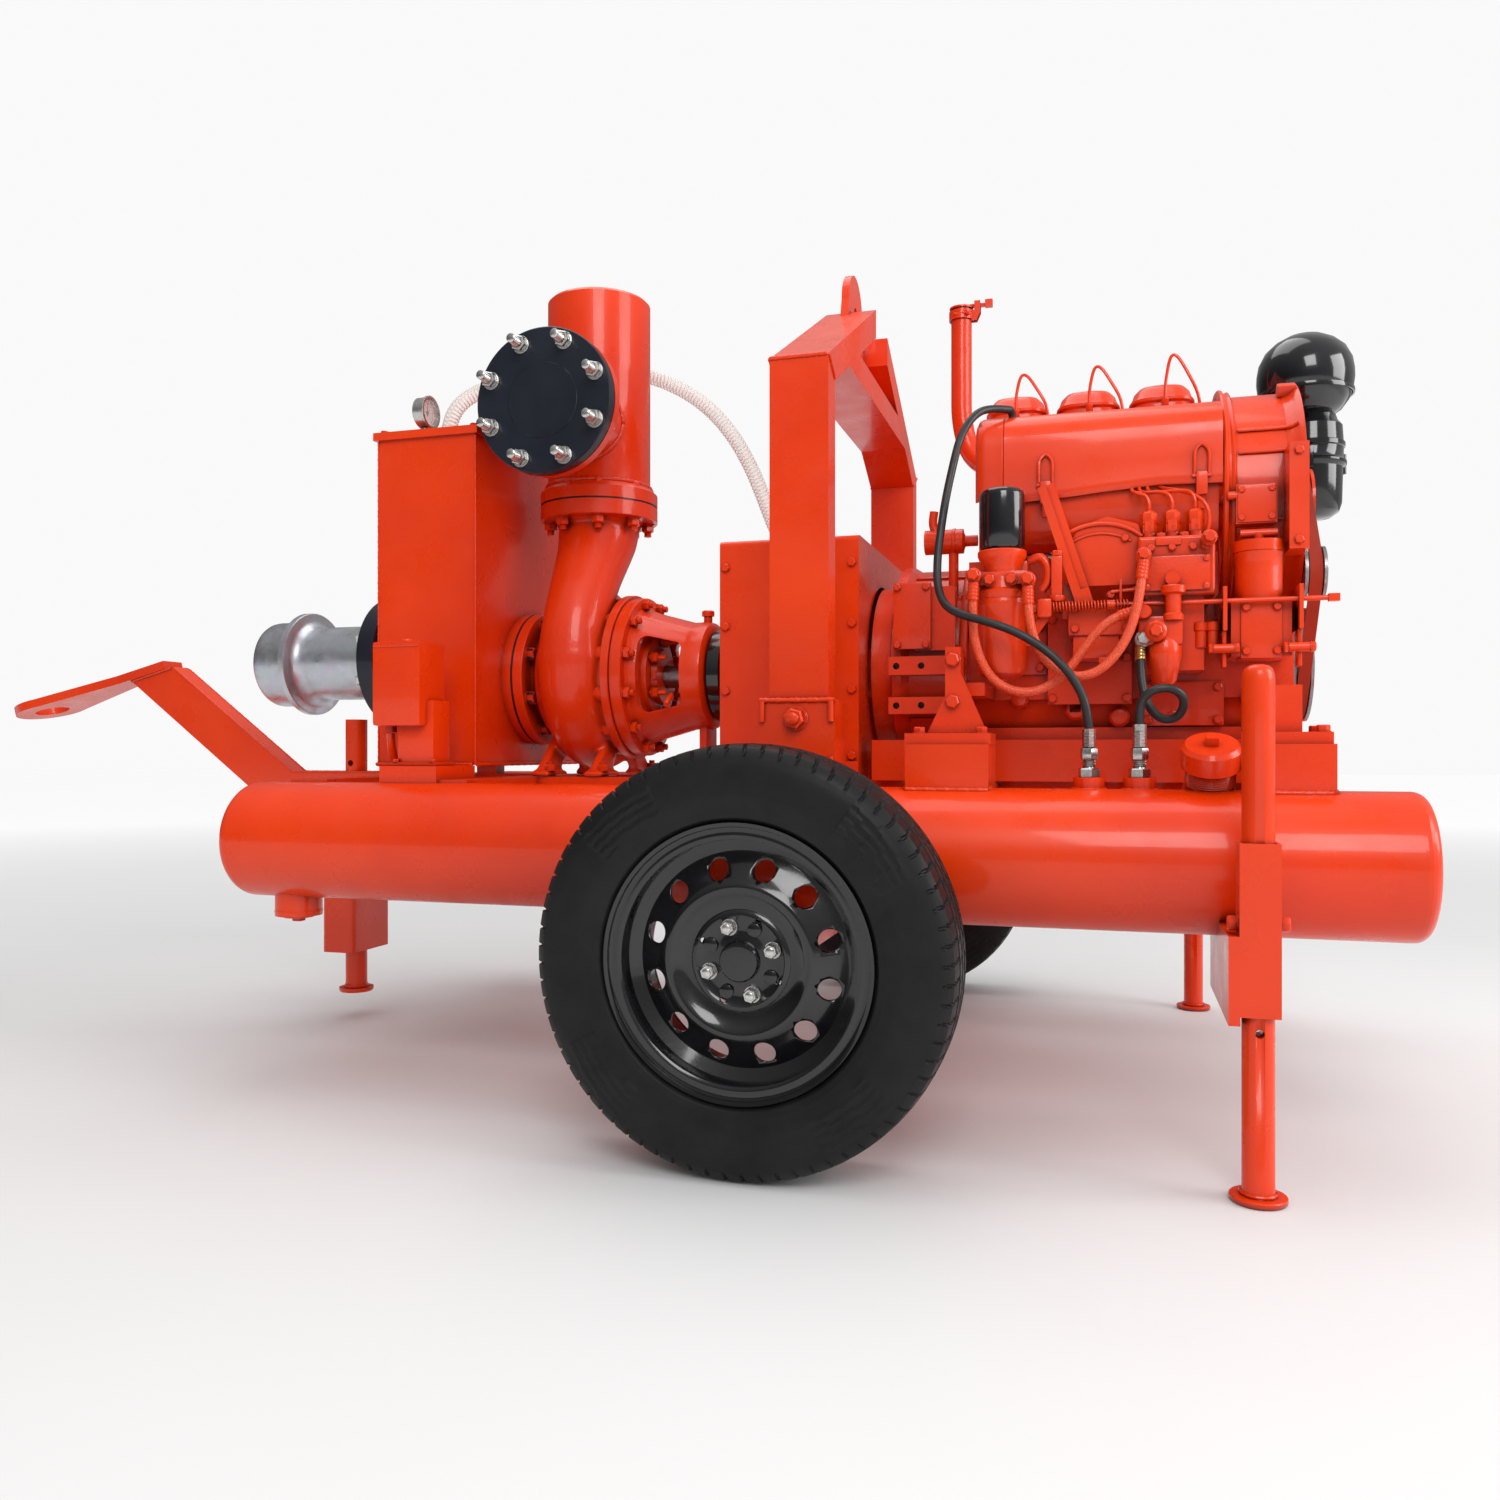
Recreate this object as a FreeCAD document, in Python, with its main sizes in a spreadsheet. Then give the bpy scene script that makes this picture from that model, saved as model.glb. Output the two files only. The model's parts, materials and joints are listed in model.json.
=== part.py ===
"""Trailer fire pump: a diesel engine and a vacuum-primed centrifugal pump on two long fuel pipes.

The origin is the ground point under the middle of the axle. +X runs along the trailer from the tow
eye to the engine's fan end, +Y is the side of the exhaust, and +Z is up. Sizes are in millimetres.
"""
import FreeCAD, Part
import math
import os
import re
import Sketcher
from FreeCAD import Placement, Rotation, Vector

SIZES = {
    # two side pipes, which are the frame and the fuel tank
    "pipe_radius": 109.55, "pipe_wall": 6.3, "pipe_side": 433, "pipe_height": 440,
    "pipe_front": -1083, "pipe_back": 941, "cap_thick": 24, "cap_round": 20,
    "neck_at": 650, "neck_side": -410, "neck_radius": 35, "neck_bore": 30,
    "neck_base": 545, "neck_rise": 48, "neck_lean": 28,
    "drain_at": -982, "first_boss": 472, "second_boss": 548, "boss_side": -405, "boss_top": 567,
    # ladder between the pipes
    "member_low": 495, "member_top": 555, "member_width": 80, "rail_top": 628,
    "axle_size": 60, "axle_height": 308, "axle_half": 600,
    # wheels
    "hub_height": 310, "wheel_side": 705, "tyre_radius": 310, "spindle_radius": 20,
    "running_gap": 0.05, "seat_radius": 178, "lip_radius": 199, "lip_side": 70,
    "vent_circle": 133, "vent_radius": 15.5, "nut_circle": 50, "nut_across": 19,
    # drawbar and tow eye
    "drawbar_top": 560, "drawbar_depth": 100, "drawbar_half": 25, "drawbar_wall": 5,
    "eye_radius": 80, "eye_bore": 38, "eye_thick": 20, "eye_tilt": 14.6, "eye_x": -2050, "eye_z": 708,
    # jack legs
    "jack_x": 695, "jack_side": 623, "jack_radius": 21.2, "jack_bore": 17, "jack_top": 726,
    "socket_half": 26, "socket_low": 252, "socket_top": 485, "slide_gap": 0.3,
    "jockey_x": -1159, "jockey_radius": 24, "jockey_top": 680, "jockey_low": 56,
    # suction side and priming tank
    "shaft_height": 765, "flange_radius": 142.5, "coupling_radius": 98, "coupling_ring": 118,
    "tank_front": -930, "tank_back": -708, "tank_half": 250, "tank_low": 580, "tank_top": 1250,
    "tank_wall": 6, "suction_height": 810, "suction_pipe": 84, "suction_bore": 78,
    # pump
    "joint_x": -688, "gasket": 3, "flange_thick": 22, "casing_front": -650, "casing_back": -457,
    "scroll_radius": 200, "chamber_radius": 150, "impeller_radius": 132, "outlet_x": -550,
    "outlet_top": 1130, "outlet_flange": 125, "bracket_radius": 167, "housing_radius": 102,
    "shaft_radius": 24,
    # discharge
    "riser_radius": 109.5, "riser_top": 1570, "riser_wall": 6, "branch_height": 1290,
    "branch_radius": 84, "blind_face": -270, "stud_circle": 120, "stud_radius": 10,
    # coupling guard
    "guard_front": -194, "guard_back": 70, "guard_half": 250, "guard_top": 1000, "sheet": 4,
    # lifting frame
    "post_front": -36, "post_back": 64, "post_outer": 467, "post_inner": 417, "post_low": 560,
    "kink": 1258, "inner_kink": 1228, "rise": 0.525, "near_tip": 50, "far_tip": 76, "beam_wall": 5,
    "tie_low": 1289, "tie_top": 1337, "eye_height": 1485, "eye_hole": 18,
    # engine
    "bell_front": 122, "bell_back": 260, "bell_radius": 205, "block_back": 800, "block_half": 185,
    "block_low": 640, "block_top": 950, "block_tail_top": 830, "cylinder_first": 335, "cylinder_pitch": 130.5,
    "cylinder_top": 1215, "barrel_radius": 50, "fin_radius": 66, "fin_pitch": 10, "fin_thick": 3.5,
    "cowl_front": 280, "cowl_back": 683, "cowl_side": -250, "cowl_top": 1200, "cowl_low": 1030,
    "fan_y": -50, "fan_height": 1045, "fan_radius": 196, "fan_front": 685, "fan_back": 810,
    "belt_x": 828, "belt_width": 20, "crank_pulley": 95, "fan_pulley": 55, "idler_pulley": 36,
    "idler_y": -190, "idler_height": 905,
    # fuel system and controls
    "filter_x": 330, "filter_y": -320, "filter_radius": 38, "pump_face": -320,
    "lever_x": 466, "lever_z": 857, "rod_y": -325, "rod_z": 848,
    "oil_x": 735, "oil_y": -275, "hose_radius": 7,
    # exhaust and air cleaner
    "exhaust_y": 300, "exhaust_x": 190, "exhaust_radius": 22.5, "exhaust_top": 1600,
    "cleaner_x": 880, "cleaner_y": 185, "dome_radius": 88, "dome_height": 1335,
}

doc = FreeCAD.newDocument("FirePump")
sheet = doc.addObject("Spreadsheet::Sheet", "Dims")
for row, (alias, number) in enumerate(SIZES.items(), start=1):
    sheet.set("A%d" % row, alias)
    sheet.set("B%d" % row, str(number))
    sheet.setAlias("B%d" % row, alias)
doc.recompute()

ORIGIN = Vector(0, 0, 0)
TO_X = Rotation(Vector(0, 1, 0), 90)
TO_Y = Rotation(Vector(1, 0, 0), -90)
UPRIGHT = Rotation()
WORD = re.compile(r"[a-z]\w*")
NODES = []


# ---------------------------------------------------------------- small helpers
def formula(text):
    """Expression in which each size's name points at its cell."""
    return WORD.sub(lambda m: "Dims." + m.group(0) if m.group(0) in SIZES else m.group(0), str(text))


def value(text):
    """Number that an expression of the sizes gives."""
    return float(sheet.evalExpression(formula(text)))


def place(piece, at, turn=UPRIGHT):
    piece.Placement = Placement(ORIGIN, turn)
    for axis, text in zip("xyz", at):
        piece.setExpression("Placement.Base." + axis, formula(text))
    return piece


def sized(kind, at, turn=UPRIGHT, **sizes):
    """Primitive whose sizes are expressions."""
    piece = doc.addObject(kind, kind.split("::")[1])
    for name, text in sizes.items():
        piece.setExpression(name, formula(text))
    return place(piece, at, turn)


def ends(span):
    low, high = span.split(":")
    return low.strip(), high.strip()


def box(x, y, z):
    (x0, x1), (y0, y1), (z0, z1) = ends(x), ends(y), ends(z)
    return sized("Part::Box", (x0, y0, z0), Length="(%s)-(%s)" % (x1, x0),
                 Width="(%s)-(%s)" % (y1, y0), Height="(%s)-(%s)" % (z1, z0))


def along(axis, span, centre):
    """Base point, turn and length of a piece that runs along one axis."""
    low, high = ends(span)
    first, second = centre
    at = {"x": (low, first, second), "y": (first, low, second), "z": (first, second, low)}[axis]
    return at, {"x": TO_X, "y": TO_Y, "z": UPRIGHT}[axis], "(%s)-(%s)" % (high, low)


def rod(axis, span, centre, radius):
    at, turn, length = along(axis, span, centre)
    return sized("Part::Cylinder", at, turn, Radius=radius, Height=length)


def cone(axis, span, centre, low_radius, high_radius):
    at, turn, length = along(axis, span, centre)
    return sized("Part::Cone", at, turn, Radius1=low_radius, Radius2=high_radius, Height=length)


def nut(axis, span, centre, across):
    at, turn, length = along(axis, span, centre)
    piece = sized("Part::Prism", at, turn, Circumradius="(%s)/1.732" % across, Height=length)
    piece.Polygon = 6
    return piece


def ball(centre, radius):
    return sized("Part::Sphere", centre, Radius=radius)


def join(*pieces):
    if len(pieces) == 1:
        return pieces[0]
    fused = doc.addObject("Part::MultiFuse", "Joined")
    fused.Shapes = list(pieces)
    return fused


def cut(base, *tools):
    result = doc.addObject("Part::Cut", "Cut")
    result.Base, result.Tool = base, join(*tools)
    return result


def tube(axis, span, centre, outer, inner):
    return cut(rod(axis, span, centre, outer), rod(axis, span, centre, inner))


def rounded(piece, radius, chosen):
    """Fillet on the straight or round edges that a test picks."""
    doc.recompute()
    fillet = doc.addObject("Part::Fillet", "Rounded")
    fillet.Base = piece
    size = value(radius)
    fillet.Edges = [(i, size, size) for i, edge in enumerate(piece.Shape.Edges, start=1) if chosen(edge)]
    return fillet


def runs(edge, axis):
    """True for a straight edge along the axis."""
    if edge.Curve.TypeId != "Part::GeomLine":
        return False
    return abs(abs(edge.tangentAt(edge.FirstParameter).dot(axis)) - 1) < 1e-6


def sketch_on(body, points):
    """Closed outline on the body's XY plane, each corner held by two bound distances."""
    plane = next(part for part in body.Origin.OriginFeatures if part.Role == "XY_Plane")
    sketch = body.newObject("Sketcher::SketchObject", "Outline")
    sketch.AttachmentSupport, sketch.MapMode = (plane, [""]), "FlatFace"
    corners = [Vector(value(x), value(y), 0) for x, y in points]
    count = len(corners)
    for i in range(count):
        sketch.addGeometry(Part.LineSegment(corners[i], corners[(i + 1) % count]), False)
    for i in range(count):
        sketch.addConstraint(Sketcher.Constraint("Coincident", i, 2, (i + 1) % count, 1))
    for i, texts in enumerate(points):
        for kind, number, text in zip(("DistanceX", "DistanceY"), corners[i], texts):
            index = sketch.addConstraint(Sketcher.Constraint(kind, -1, 1, i, 1, number))
            sketch.setExpression("Constraints[%d]" % index, formula(text))
    return sketch


def slab(plane, span, points):
    """Flat outline thickened along the plane's normal."""
    low, high = ends(span)
    body = doc.addObject("PartDesign::Body", "Slab")
    pad = body.newObject("PartDesign::Pad", "Pad")
    pad.Profile = sketch_on(body, points)
    pad.setExpression("Length", formula("(%s)-(%s)" % (high, low)))
    at, turn = {"xy": (("0", "0", low), UPRIGHT),
                "xz": (("0", high, "0"), Rotation(Vector(1, 0, 0), 90)),
                "yz": ((low, "0", "0"), Rotation(Vector(1, 1, 1), 120))}[plane]
    return place(body, at, turn)


def turned(axis, centre, profile):
    """Solid of revolution: profile points are distance along the axis and radius."""
    body = doc.addObject("PartDesign::Body", "Turned")
    revolution = body.newObject("PartDesign::Revolution", "Revolution")
    sketch = sketch_on(body, profile)
    revolution.Profile, revolution.ReferenceAxis, revolution.Angle = sketch, (sketch, ["H_Axis"]), 360
    first, second = centre
    at = {"x": ("0", first, second), "y": (first, "0", second), "z": (first, second, "0")}[axis]
    turn = {"x": UPRIGHT, "y": Rotation(Vector(0, 0, 1), 90), "z": Rotation(Vector(0, 1, 0), -90)}[axis]
    return place(body, at, turn)


def bent_tube(route, radius):
    """Round tube whose straight runs are joined by tangent arcs as large as the runs allow."""
    points = [Vector(*[value(number) for number in point]) for point in route]
    size = value(radius)
    edges, start, tightest = [], points[0], None
    for before, corner, after in zip(points, points[1:], points[2:]):
        inward, outward = (before - corner), (after - corner)
        reach = 0.45 * min(inward.Length, outward.Length)
        inward.normalize()
        outward.normalize()
        half_turn = (math.pi - inward.getAngle(outward)) / 2
        bend = reach / math.tan(half_turn)
        tightest = bend if tightest is None else min(bend, tightest)
        first, last = corner + inward * reach, corner + outward * reach
        inside = (inward + outward).normalize()
        middle = corner + inside * (bend / math.cos(half_turn) - bend)
        edges += [Part.LineSegment(start, first).toShape(), Part.Arc(first, middle, last).toShape()]
        start = last
    edges.append(Part.LineSegment(start, points[-1]).toShape())
    path = Part.Wire(edges)
    section = Part.Wire(Part.Circle(points[0], points[1] - points[0], size).toShape())
    piece = doc.addObject("Part::Feature", "Tube")
    piece.Shape = path.makePipeShell([section], True, False)
    expected = math.pi * size ** 2 * path.Length
    print("tube: length %.0f, tightest bend %.0f, volume ratio %.4f"
          % (path.Length, tightest or 0, piece.Shape.Volume / expected))
    return piece


def node(name, *pieces):
    """Name a finished sub-part; several pieces stay separate solids of one group."""
    final = pieces[0]
    if len(pieces) > 1:
        final = doc.addObject("Part::Compound", "Group")
        final.Links = list(pieces)
    final.Label = name
    NODES.append(final)


def side_pipes():
    """Envelopes of both side pipes, to fit welded pieces onto them."""
    span = "pipe_front - 50 : pipe_back + 50"
    return [rod("x", span, (side + "pipe_side", "pipe_height"), "pipe_radius") for side in ("-", "")]


def ring_points(count, radius, start=0.0):
    """Cosine and sine offsets, as expressions, of points spread round a circle."""
    for i in range(count):
        angle = math.radians(start + 360.0 * i / count)
        yield "(%s)*%.6f" % (radius, math.cos(angle)), "(%s)*%.6f" % (radius, math.sin(angle))


# ---------------------------------------------------------------- frame
def leaned(piece):
    """Piece drawn about the foot of the fuel filler, tipped outwards with it."""
    doc.recompute()
    holder = doc.addObject("Part::Compound", "Leaned")
    holder.Links = [piece]
    return place(holder, ("neck_at", "neck_side", "neck_base"), Rotation(Vector(1, 0, 0), value("neck_lean")))


def build_side_pipes():
    for name, side in (("fuel_tank_pipe", "-"), ("far_side_pipe", "")):
        centre = (side + "pipe_side", "pipe_height")
        span = "pipe_front + cap_thick : pipe_back - cap_thick"
        outside, inside = [rod("x", span, centre, "pipe_radius")], []
        if side == "-":
            outside.append(leaned(rod("z", "-30 : neck_rise", ("0", "0"), "neck_radius")))
            inside.append(leaned(rod("z", "-60 : neck_rise + 5", ("0", "0"), "neck_bore")))
            for boss in ("first_boss", "second_boss"):
                outside.append(rod("z", "pipe_height : boss_top", (boss, "boss_side"), "24"))
        outside.append(rod("z", "295 : pipe_height", ("drain_at", side + "pipe_side"), "43"))
        inside.append(rod("x", span, centre, "pipe_radius - pipe_wall"))
        node(name, cut(join(*outside), *inside))
    caps = []
    for side in ("-", ""):
        for end, way in (("pipe_front", "+"), ("pipe_back", "-")):
            corner = [math.radians(15 * i) for i in range(7)]
            steps = [("0", "0")] + [("cap_round*%.5f" % (1 - math.sin(turn)),
                                     "pipe_radius - cap_round*%.5f" % (1 - math.cos(turn)))
                                    for turn in reversed(corner)]
            steps += [("cap_thick", "pipe_radius"), ("cap_thick", "0")]
            profile = [("%s %s (%s)" % (end, way, x), r) for x, r in steps]
            caps.append(turned("x", (side + "pipe_side", "pipe_height"), profile))
    node("pipe_end_caps", *caps)


def post_sockets():
    """Boxes welded on the side pipes that hold the lifting frame's posts."""
    span = "post_front - 14 : post_back + 14"
    return [box(span, "-post_outer - 16 : 12 - post_inner", "500 : 690"),
            box(span, "post_inner - 12 : post_outer + 16", "500 : 690")]


def build_ladder():
    height = "member_low : member_top"
    pieces = []
    for start in ("-1000", "-700", "-110", "230", "740"):
        span = "%s : %s + member_width" % (start, start)
        pieces.append(box(span, "-pipe_side : pipe_side", height))
    for side in ("-150", "110"):
        pieces.append(box("-1000 : 820", "%s : %s + 40" % (side, side), height))
    for side in ("-230", "170"):
        pieces.append(box("90 : 820", "%s : %s + 60" % (side, side), "member_top : rail_top"))
    pieces.append(box("270 : 820", "-175 : 175", "member_top : member_top + 8"))
    pieces.append(box("-800 : -680", "-440 : -300", "530 : tank_low"))
    for x in ("188 : 320", "705 : 820"):
        pieces.append(box(x, "-460 : -330", "500 : 619"))
        pieces.append(box(x, "330 : 460", "500 : 619"))
    pieces += post_sockets()
    pockets = [box("post_front - 0.2 : post_back + 0.2", y, "post_low - 10 : 700")
               for y in ("-post_outer - 0.2 : 0.2 - post_inner", "post_inner - 0.2 : post_outer + 0.2")]
    node("chassis_members", cut(join(*pieces), *side_pipes(), *pockets))

    beam = box("-axle_size/2 : axle_size/2", "-axle_half : axle_half",
               "axle_height - axle_size/2 : axle_height + axle_size/2")
    spindles = [rod("y", "-wheel_side - 34 : 50 - axle_half", ("0", "hub_height"), "spindle_radius"),
                rod("y", "axle_half - 50 : wheel_side + 34", ("0", "hub_height"), "spindle_radius")]
    node("axle_beam", cut(join(beam, *spindles), *side_pipes()))


def build_drawbar():
    def outline(inset):
        deep = "(drawbar_depth - %s*2)" % inset
        top = "(drawbar_top - %s)" % inset
        return [("-1000", "%s - %s" % (top, deep)), ("-1349 + %s*0.35" % inset, "%s - %s" % (top, deep)),
                ("-1779.5 + %s*2.28" % inset, "778.2 - %s*0.44" % inset),
                ("-1655 - %s*0.21" % inset, "810.7 - %s*1.09" % inset),
                ("-1316 + %s*0.35" % inset, top), ("-1000", top)]
    solid = slab("xz", "-drawbar_half : drawbar_half", outline("0"))
    hollow = slab("xz", "drawbar_wall - drawbar_half : drawbar_half - drawbar_wall", outline("drawbar_wall"))
    hole = rod("z", "400 : 600", ("jockey_x", "0"), "jockey_radius + slide_gap")
    node("drawbar", cut(solid, hollow, hole))

    body = slab("xy", "0 : eye_thick", [("0", "-eye_radius"), ("120", "-58"), ("250", "-34"), ("388", "-30"),
                                        ("388", "30"), ("250", "34"), ("120", "58"), ("0", "eye_radius")])
    centre = ("0", "0")
    plate = cut(join(body, rod("z", "0 : eye_thick", centre, "eye_radius")),
                rod("z", "-1 : eye_thick + 1", centre, "eye_bore"))
    doc.recompute()
    holder = doc.addObject("Part::Compound", "TowEye")
    holder.Links = [plate]
    tilt = Rotation(Vector(0, 1, 0), -value("eye_tilt"))
    node("tow_eye", place(holder, ("eye_x", "0", "eye_z"), tilt))


def build_jacks():
    sockets = []
    for side in ("-", ""):
        y = side + "jack_side"
        shell = box("jack_x - socket_half : jack_x + socket_half",
                    "%s - socket_half : %s + socket_half" % (y, y),
                    "socket_low : socket_top")
        y_span = "-jack_side + socket_half - 2 : -360" if side else "360 : jack_side - socket_half + 2"
        plate = box("jack_x - 40 : jack_x - 28", y_span, "240 : 360")
        web = box("jack_x - 40 : jack_x - socket_half + 1",
                  "%s - socket_half : %s + socket_half" % (y, y), "240 : 360")
        pad = box("jack_x - 40 : jack_x + 20", y_span, "348 : 360")
        bore = box("jack_x - jack_radius - slide_gap : jack_x + jack_radius + slide_gap",
                   "%s - jack_radius - slide_gap : %s + jack_radius + slide_gap" % (y, y), "200 : 500")
        sockets.append(cut(join(shell, plate, web, pad), bore, *side_pipes()))
        name = "jack_leg_near" if side else "jack_leg_far"
        leg = cut(rod("z", "6 : jack_top", ("jack_x", y), "jack_radius"),
                  rod("z", "12 : jack_top + 1", ("jack_x", y), "jack_bore"),
                  rod("y", "%s - 40 : %s + 40" % (y, y), ("jack_x", "230"), "6"))
        foot = turned("z", ("jack_x", y), [("0", "0"), ("0", "35"), ("4", "37.5"), ("9", "37.5"),
                                           ("9", "33"), ("6", "28"), ("6", "0")])
        node(name, join(leg, foot))
    shell = rounded(box("-1200 : -1118", "-72 : 72", "154 : drawbar_top - drawbar_depth"), "12",
                    lambda edge: runs(edge, Vector(0, 0, 1)))
    hollow = box("-1194 : -1124", "-66 : 66", "162 : drawbar_top - drawbar_depth - 8")
    guide = rod("z", "100 : 600", ("jockey_x", "0"), "jockey_radius + slide_gap")
    sockets.append(cut(shell, hollow, guide))
    node("jack_sockets", *sockets)
    leg = cut(rod("z", "jockey_low + 6 : jockey_top", ("jockey_x", "0"), "jockey_radius"),
              rod("z", "jockey_low + 12 : jockey_top + 1", ("jockey_x", "0"), "jockey_radius - 4"),
              rod("y", "-40 : 40", ("jockey_x", "580"), "7"))
    foot = turned("z", ("jockey_x", "0"),
                  [("jockey_low", "0"), ("jockey_low", "36"), ("jockey_low + 4", "38"),
                                           ("jockey_low + 9", "38"), ("jockey_low + 9", "0")])
    node("jockey_leg", join(leg, foot))


# ---------------------------------------------------------------- wheels
def build_wheels():
    for tag, side in (("near", "-"), ("far", "")):
        def wheel_turned(profile):
            return turned("y", ("0", "hub_height"),
                          [("%s(wheel_side + (%s))" % (side, u), r) for u, r in profile])
        lip, seat = "lip_side", "seat_radius"
        barrel = wheel_turned([
            ("-lip_side", "lip_radius"), ("8 - lip_side", "lip_radius"), ("8 - lip_side", seat),
            ("-20", seat),
            ("-12", "160"), ("20", "160"), ("28", seat), ("lip_side - 8", seat),
            ("lip_side - 8", "lip_radius"),
            (lip, "lip_radius"), (lip, "190"), ("lip_side - 4", "173"), ("33", "173"), ("25", "155"),
            ("-17", "155"), ("-25", "173"), ("4 - lip_side", "173"), ("-lip_side", "190")])
        disc = wheel_turned([("38", "24"), ("38", "72"), ("48", "92"), ("52", "106"), ("48", "114"),
                             ("24", "150"), ("24", "158"), ("14", "158"), ("14", "147"), ("40", "110"),
                             ("43", "104"), ("32", "76"), ("32", "24")])
        hub = wheel_turned([("-42", "0"), ("-42", "48"), ("-30", "48"), ("33", "37"), ("39", "37"),
                            ("39", "29"),
                            ("50", "28"), ("52", "22"), ("52", "0")])
        across = "-wheel_side - 35 : -wheel_side + 60" if side else "wheel_side - 60 : wheel_side + 35"
        bore = rod("y", across, ("0", "hub_height"), "spindle_radius + running_gap")
        vents = [rod("y", "%s - 60 : %s + 60" % (side + "wheel_side", side + "wheel_side"),
                     (x, "hub_height + " + z), "vent_radius") for x, z in ring_points(12, "vent_circle", 15)]
        node("wheel_rim_" + tag, cut(join(barrel, disc, hub), bore, *vents))
        node("tyre_" + tag, wheel_turned([
            ("-61.9", seat), ("-61.9", "199.6"), ("-73", "205"), ("-82.5", "245"), ("-80", "278"),
            ("-68", "301"),
            ("-58", "308"), ("-40", "tyre_radius"), ("40", "tyre_radius"), ("58", "308"), ("68", "301"),
            ("80", "278"), ("82.5", "245"), ("73", "205"), ("61.9", "199.6"), ("61.9", seat), ("46", seat),
            ("52", "200"), ("71", "220"), ("71", "262"), ("54", "294"), ("-54", "294"), ("-71", "262"),
            ("-71", "220"), ("-52", "200"), ("-46", seat)]))
        span = "-wheel_side - 55 : -wheel_side - 38" if side else "wheel_side + 38 : wheel_side + 55"
        node("wheel_nuts_" + tag, *[nut("y", span, (x, "hub_height + " + z), "nut_across")
                                    for x, z in ring_points(4, "nut_circle", 20)])


# ---------------------------------------------------------------- suction, tank and gauge
def build_suction():
    centre = ("0", "suction_height")
    node("suction_coupling", turned("x", centre, [
        ("-1372", "suction_bore"), ("-1372", "90"), ("-1362", "coupling_radius"),
        ("-1290", "coupling_radius"),
        ("-1283", "coupling_ring"), ("-1267", "coupling_ring"), ("-1262", "92"), ("-1242", "suction_pipe"),
        ("-1060", "suction_pipe"), ("-1060", "suction_bore")]))


def build_tank():
    y, z = "-tank_half : tank_half", "tank_low : tank_top"
    wall = "tank_wall"
    shell = box("tank_front : tank_back", y, z)
    stub = rod("x", "-1020 : tank_front + 1", ("0", "suction_height"), "suction_pipe")
    flange = rod("x", "tank_back - 1 : joint_x", ("0", "shaft_height"), "flange_radius")
    rim = [box("tank_front - 8 : tank_back + 8", "-tank_half - 8 : tank_half + 8", "tank_top - 8 : tank_top")]
    feet = [box("tank_front + 20 : tank_front + 70", "%s : %s + 40" % (side, side),
                "member_top : tank_low + 1")
            for side in ("-150", "110")]
    inside = box("tank_front + %s : tank_back - %s" % (wall, wall),
                 "-tank_half + %s : tank_half - %s" % (wall, wall),
                 "tank_low + %s : tank_top + 1" % wall)
    holes = [rod("x", "-1030 : tank_front + 10", ("0", "suction_height"), "suction_bore"),
             rod("x", "tank_back - 10 : joint_x + 1", ("0", "shaft_height"), "suction_bore")]
    node("priming_tank", cut(join(shell, stub, flange, *rim, *feet), inside, *holes))
    lid = box("tank_front - 8 : tank_back + 8", "-tank_half - 8 : tank_half + 8", "tank_top : tank_top + 8")
    spigot = rod("z", "tank_top : tank_top + 30", ("-860", "-100"), "15")
    bolts = [rod("z", "tank_top + 7 : tank_top + 14", (x, y), "6")
             for x in ("tank_front + 12", "-820", "tank_back - 12") for y in ("-238", "-80", "80", "238")]
    node("priming_tank_lid", join(lid, spigot, *bolts))


def build_gauge():
    """Dial gauge on the lid, facing the engine."""
    centre = ("-228", "1299")
    case = turned("x", centre, [("-848", "0"), ("-848", "31"), ("-820", "31"), ("-820", "27.5"),
                                ("-832", "27.5"),
                                ("-832", "1.5"), ("-828", "1.5"), ("-828", "0")])
    stem = rod("z", "tank_top + 8 : 1274", ("-834", "-228"), "6")
    hexagon = nut("z", "tank_top + 8 : tank_top + 16", ("-834", "-228"), "19")
    node("vacuum_gauge", join(case, stem, hexagon))
    hub = turned("x", centre, [("-831", "1.55"), ("-831", "4"), ("-828", "4"), ("-828", "1.55")])
    hand = box("-831 : -829", "-229 : -227", "1302 : 1321")
    node("gauge_needle", join(hub, hand))


# ---------------------------------------------------------------- pump
def neck(radii):
    """Swan neck from the scroll up to the outlet, lofted through circles."""
    loft = doc.addObject("Part::Loft", "Neck")
    sections = []
    for (y, z), radius in zip((("-88", "790"), ("-84", "900"), ("-30", "1005"), ("0", "1099")), radii):
        sections.append(sized("Part::Circle", ("outlet_x", y, z), Radius=radius))
    loft.Sections, loft.Solid, loft.Ruled = sections, True, False
    return loft


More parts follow.
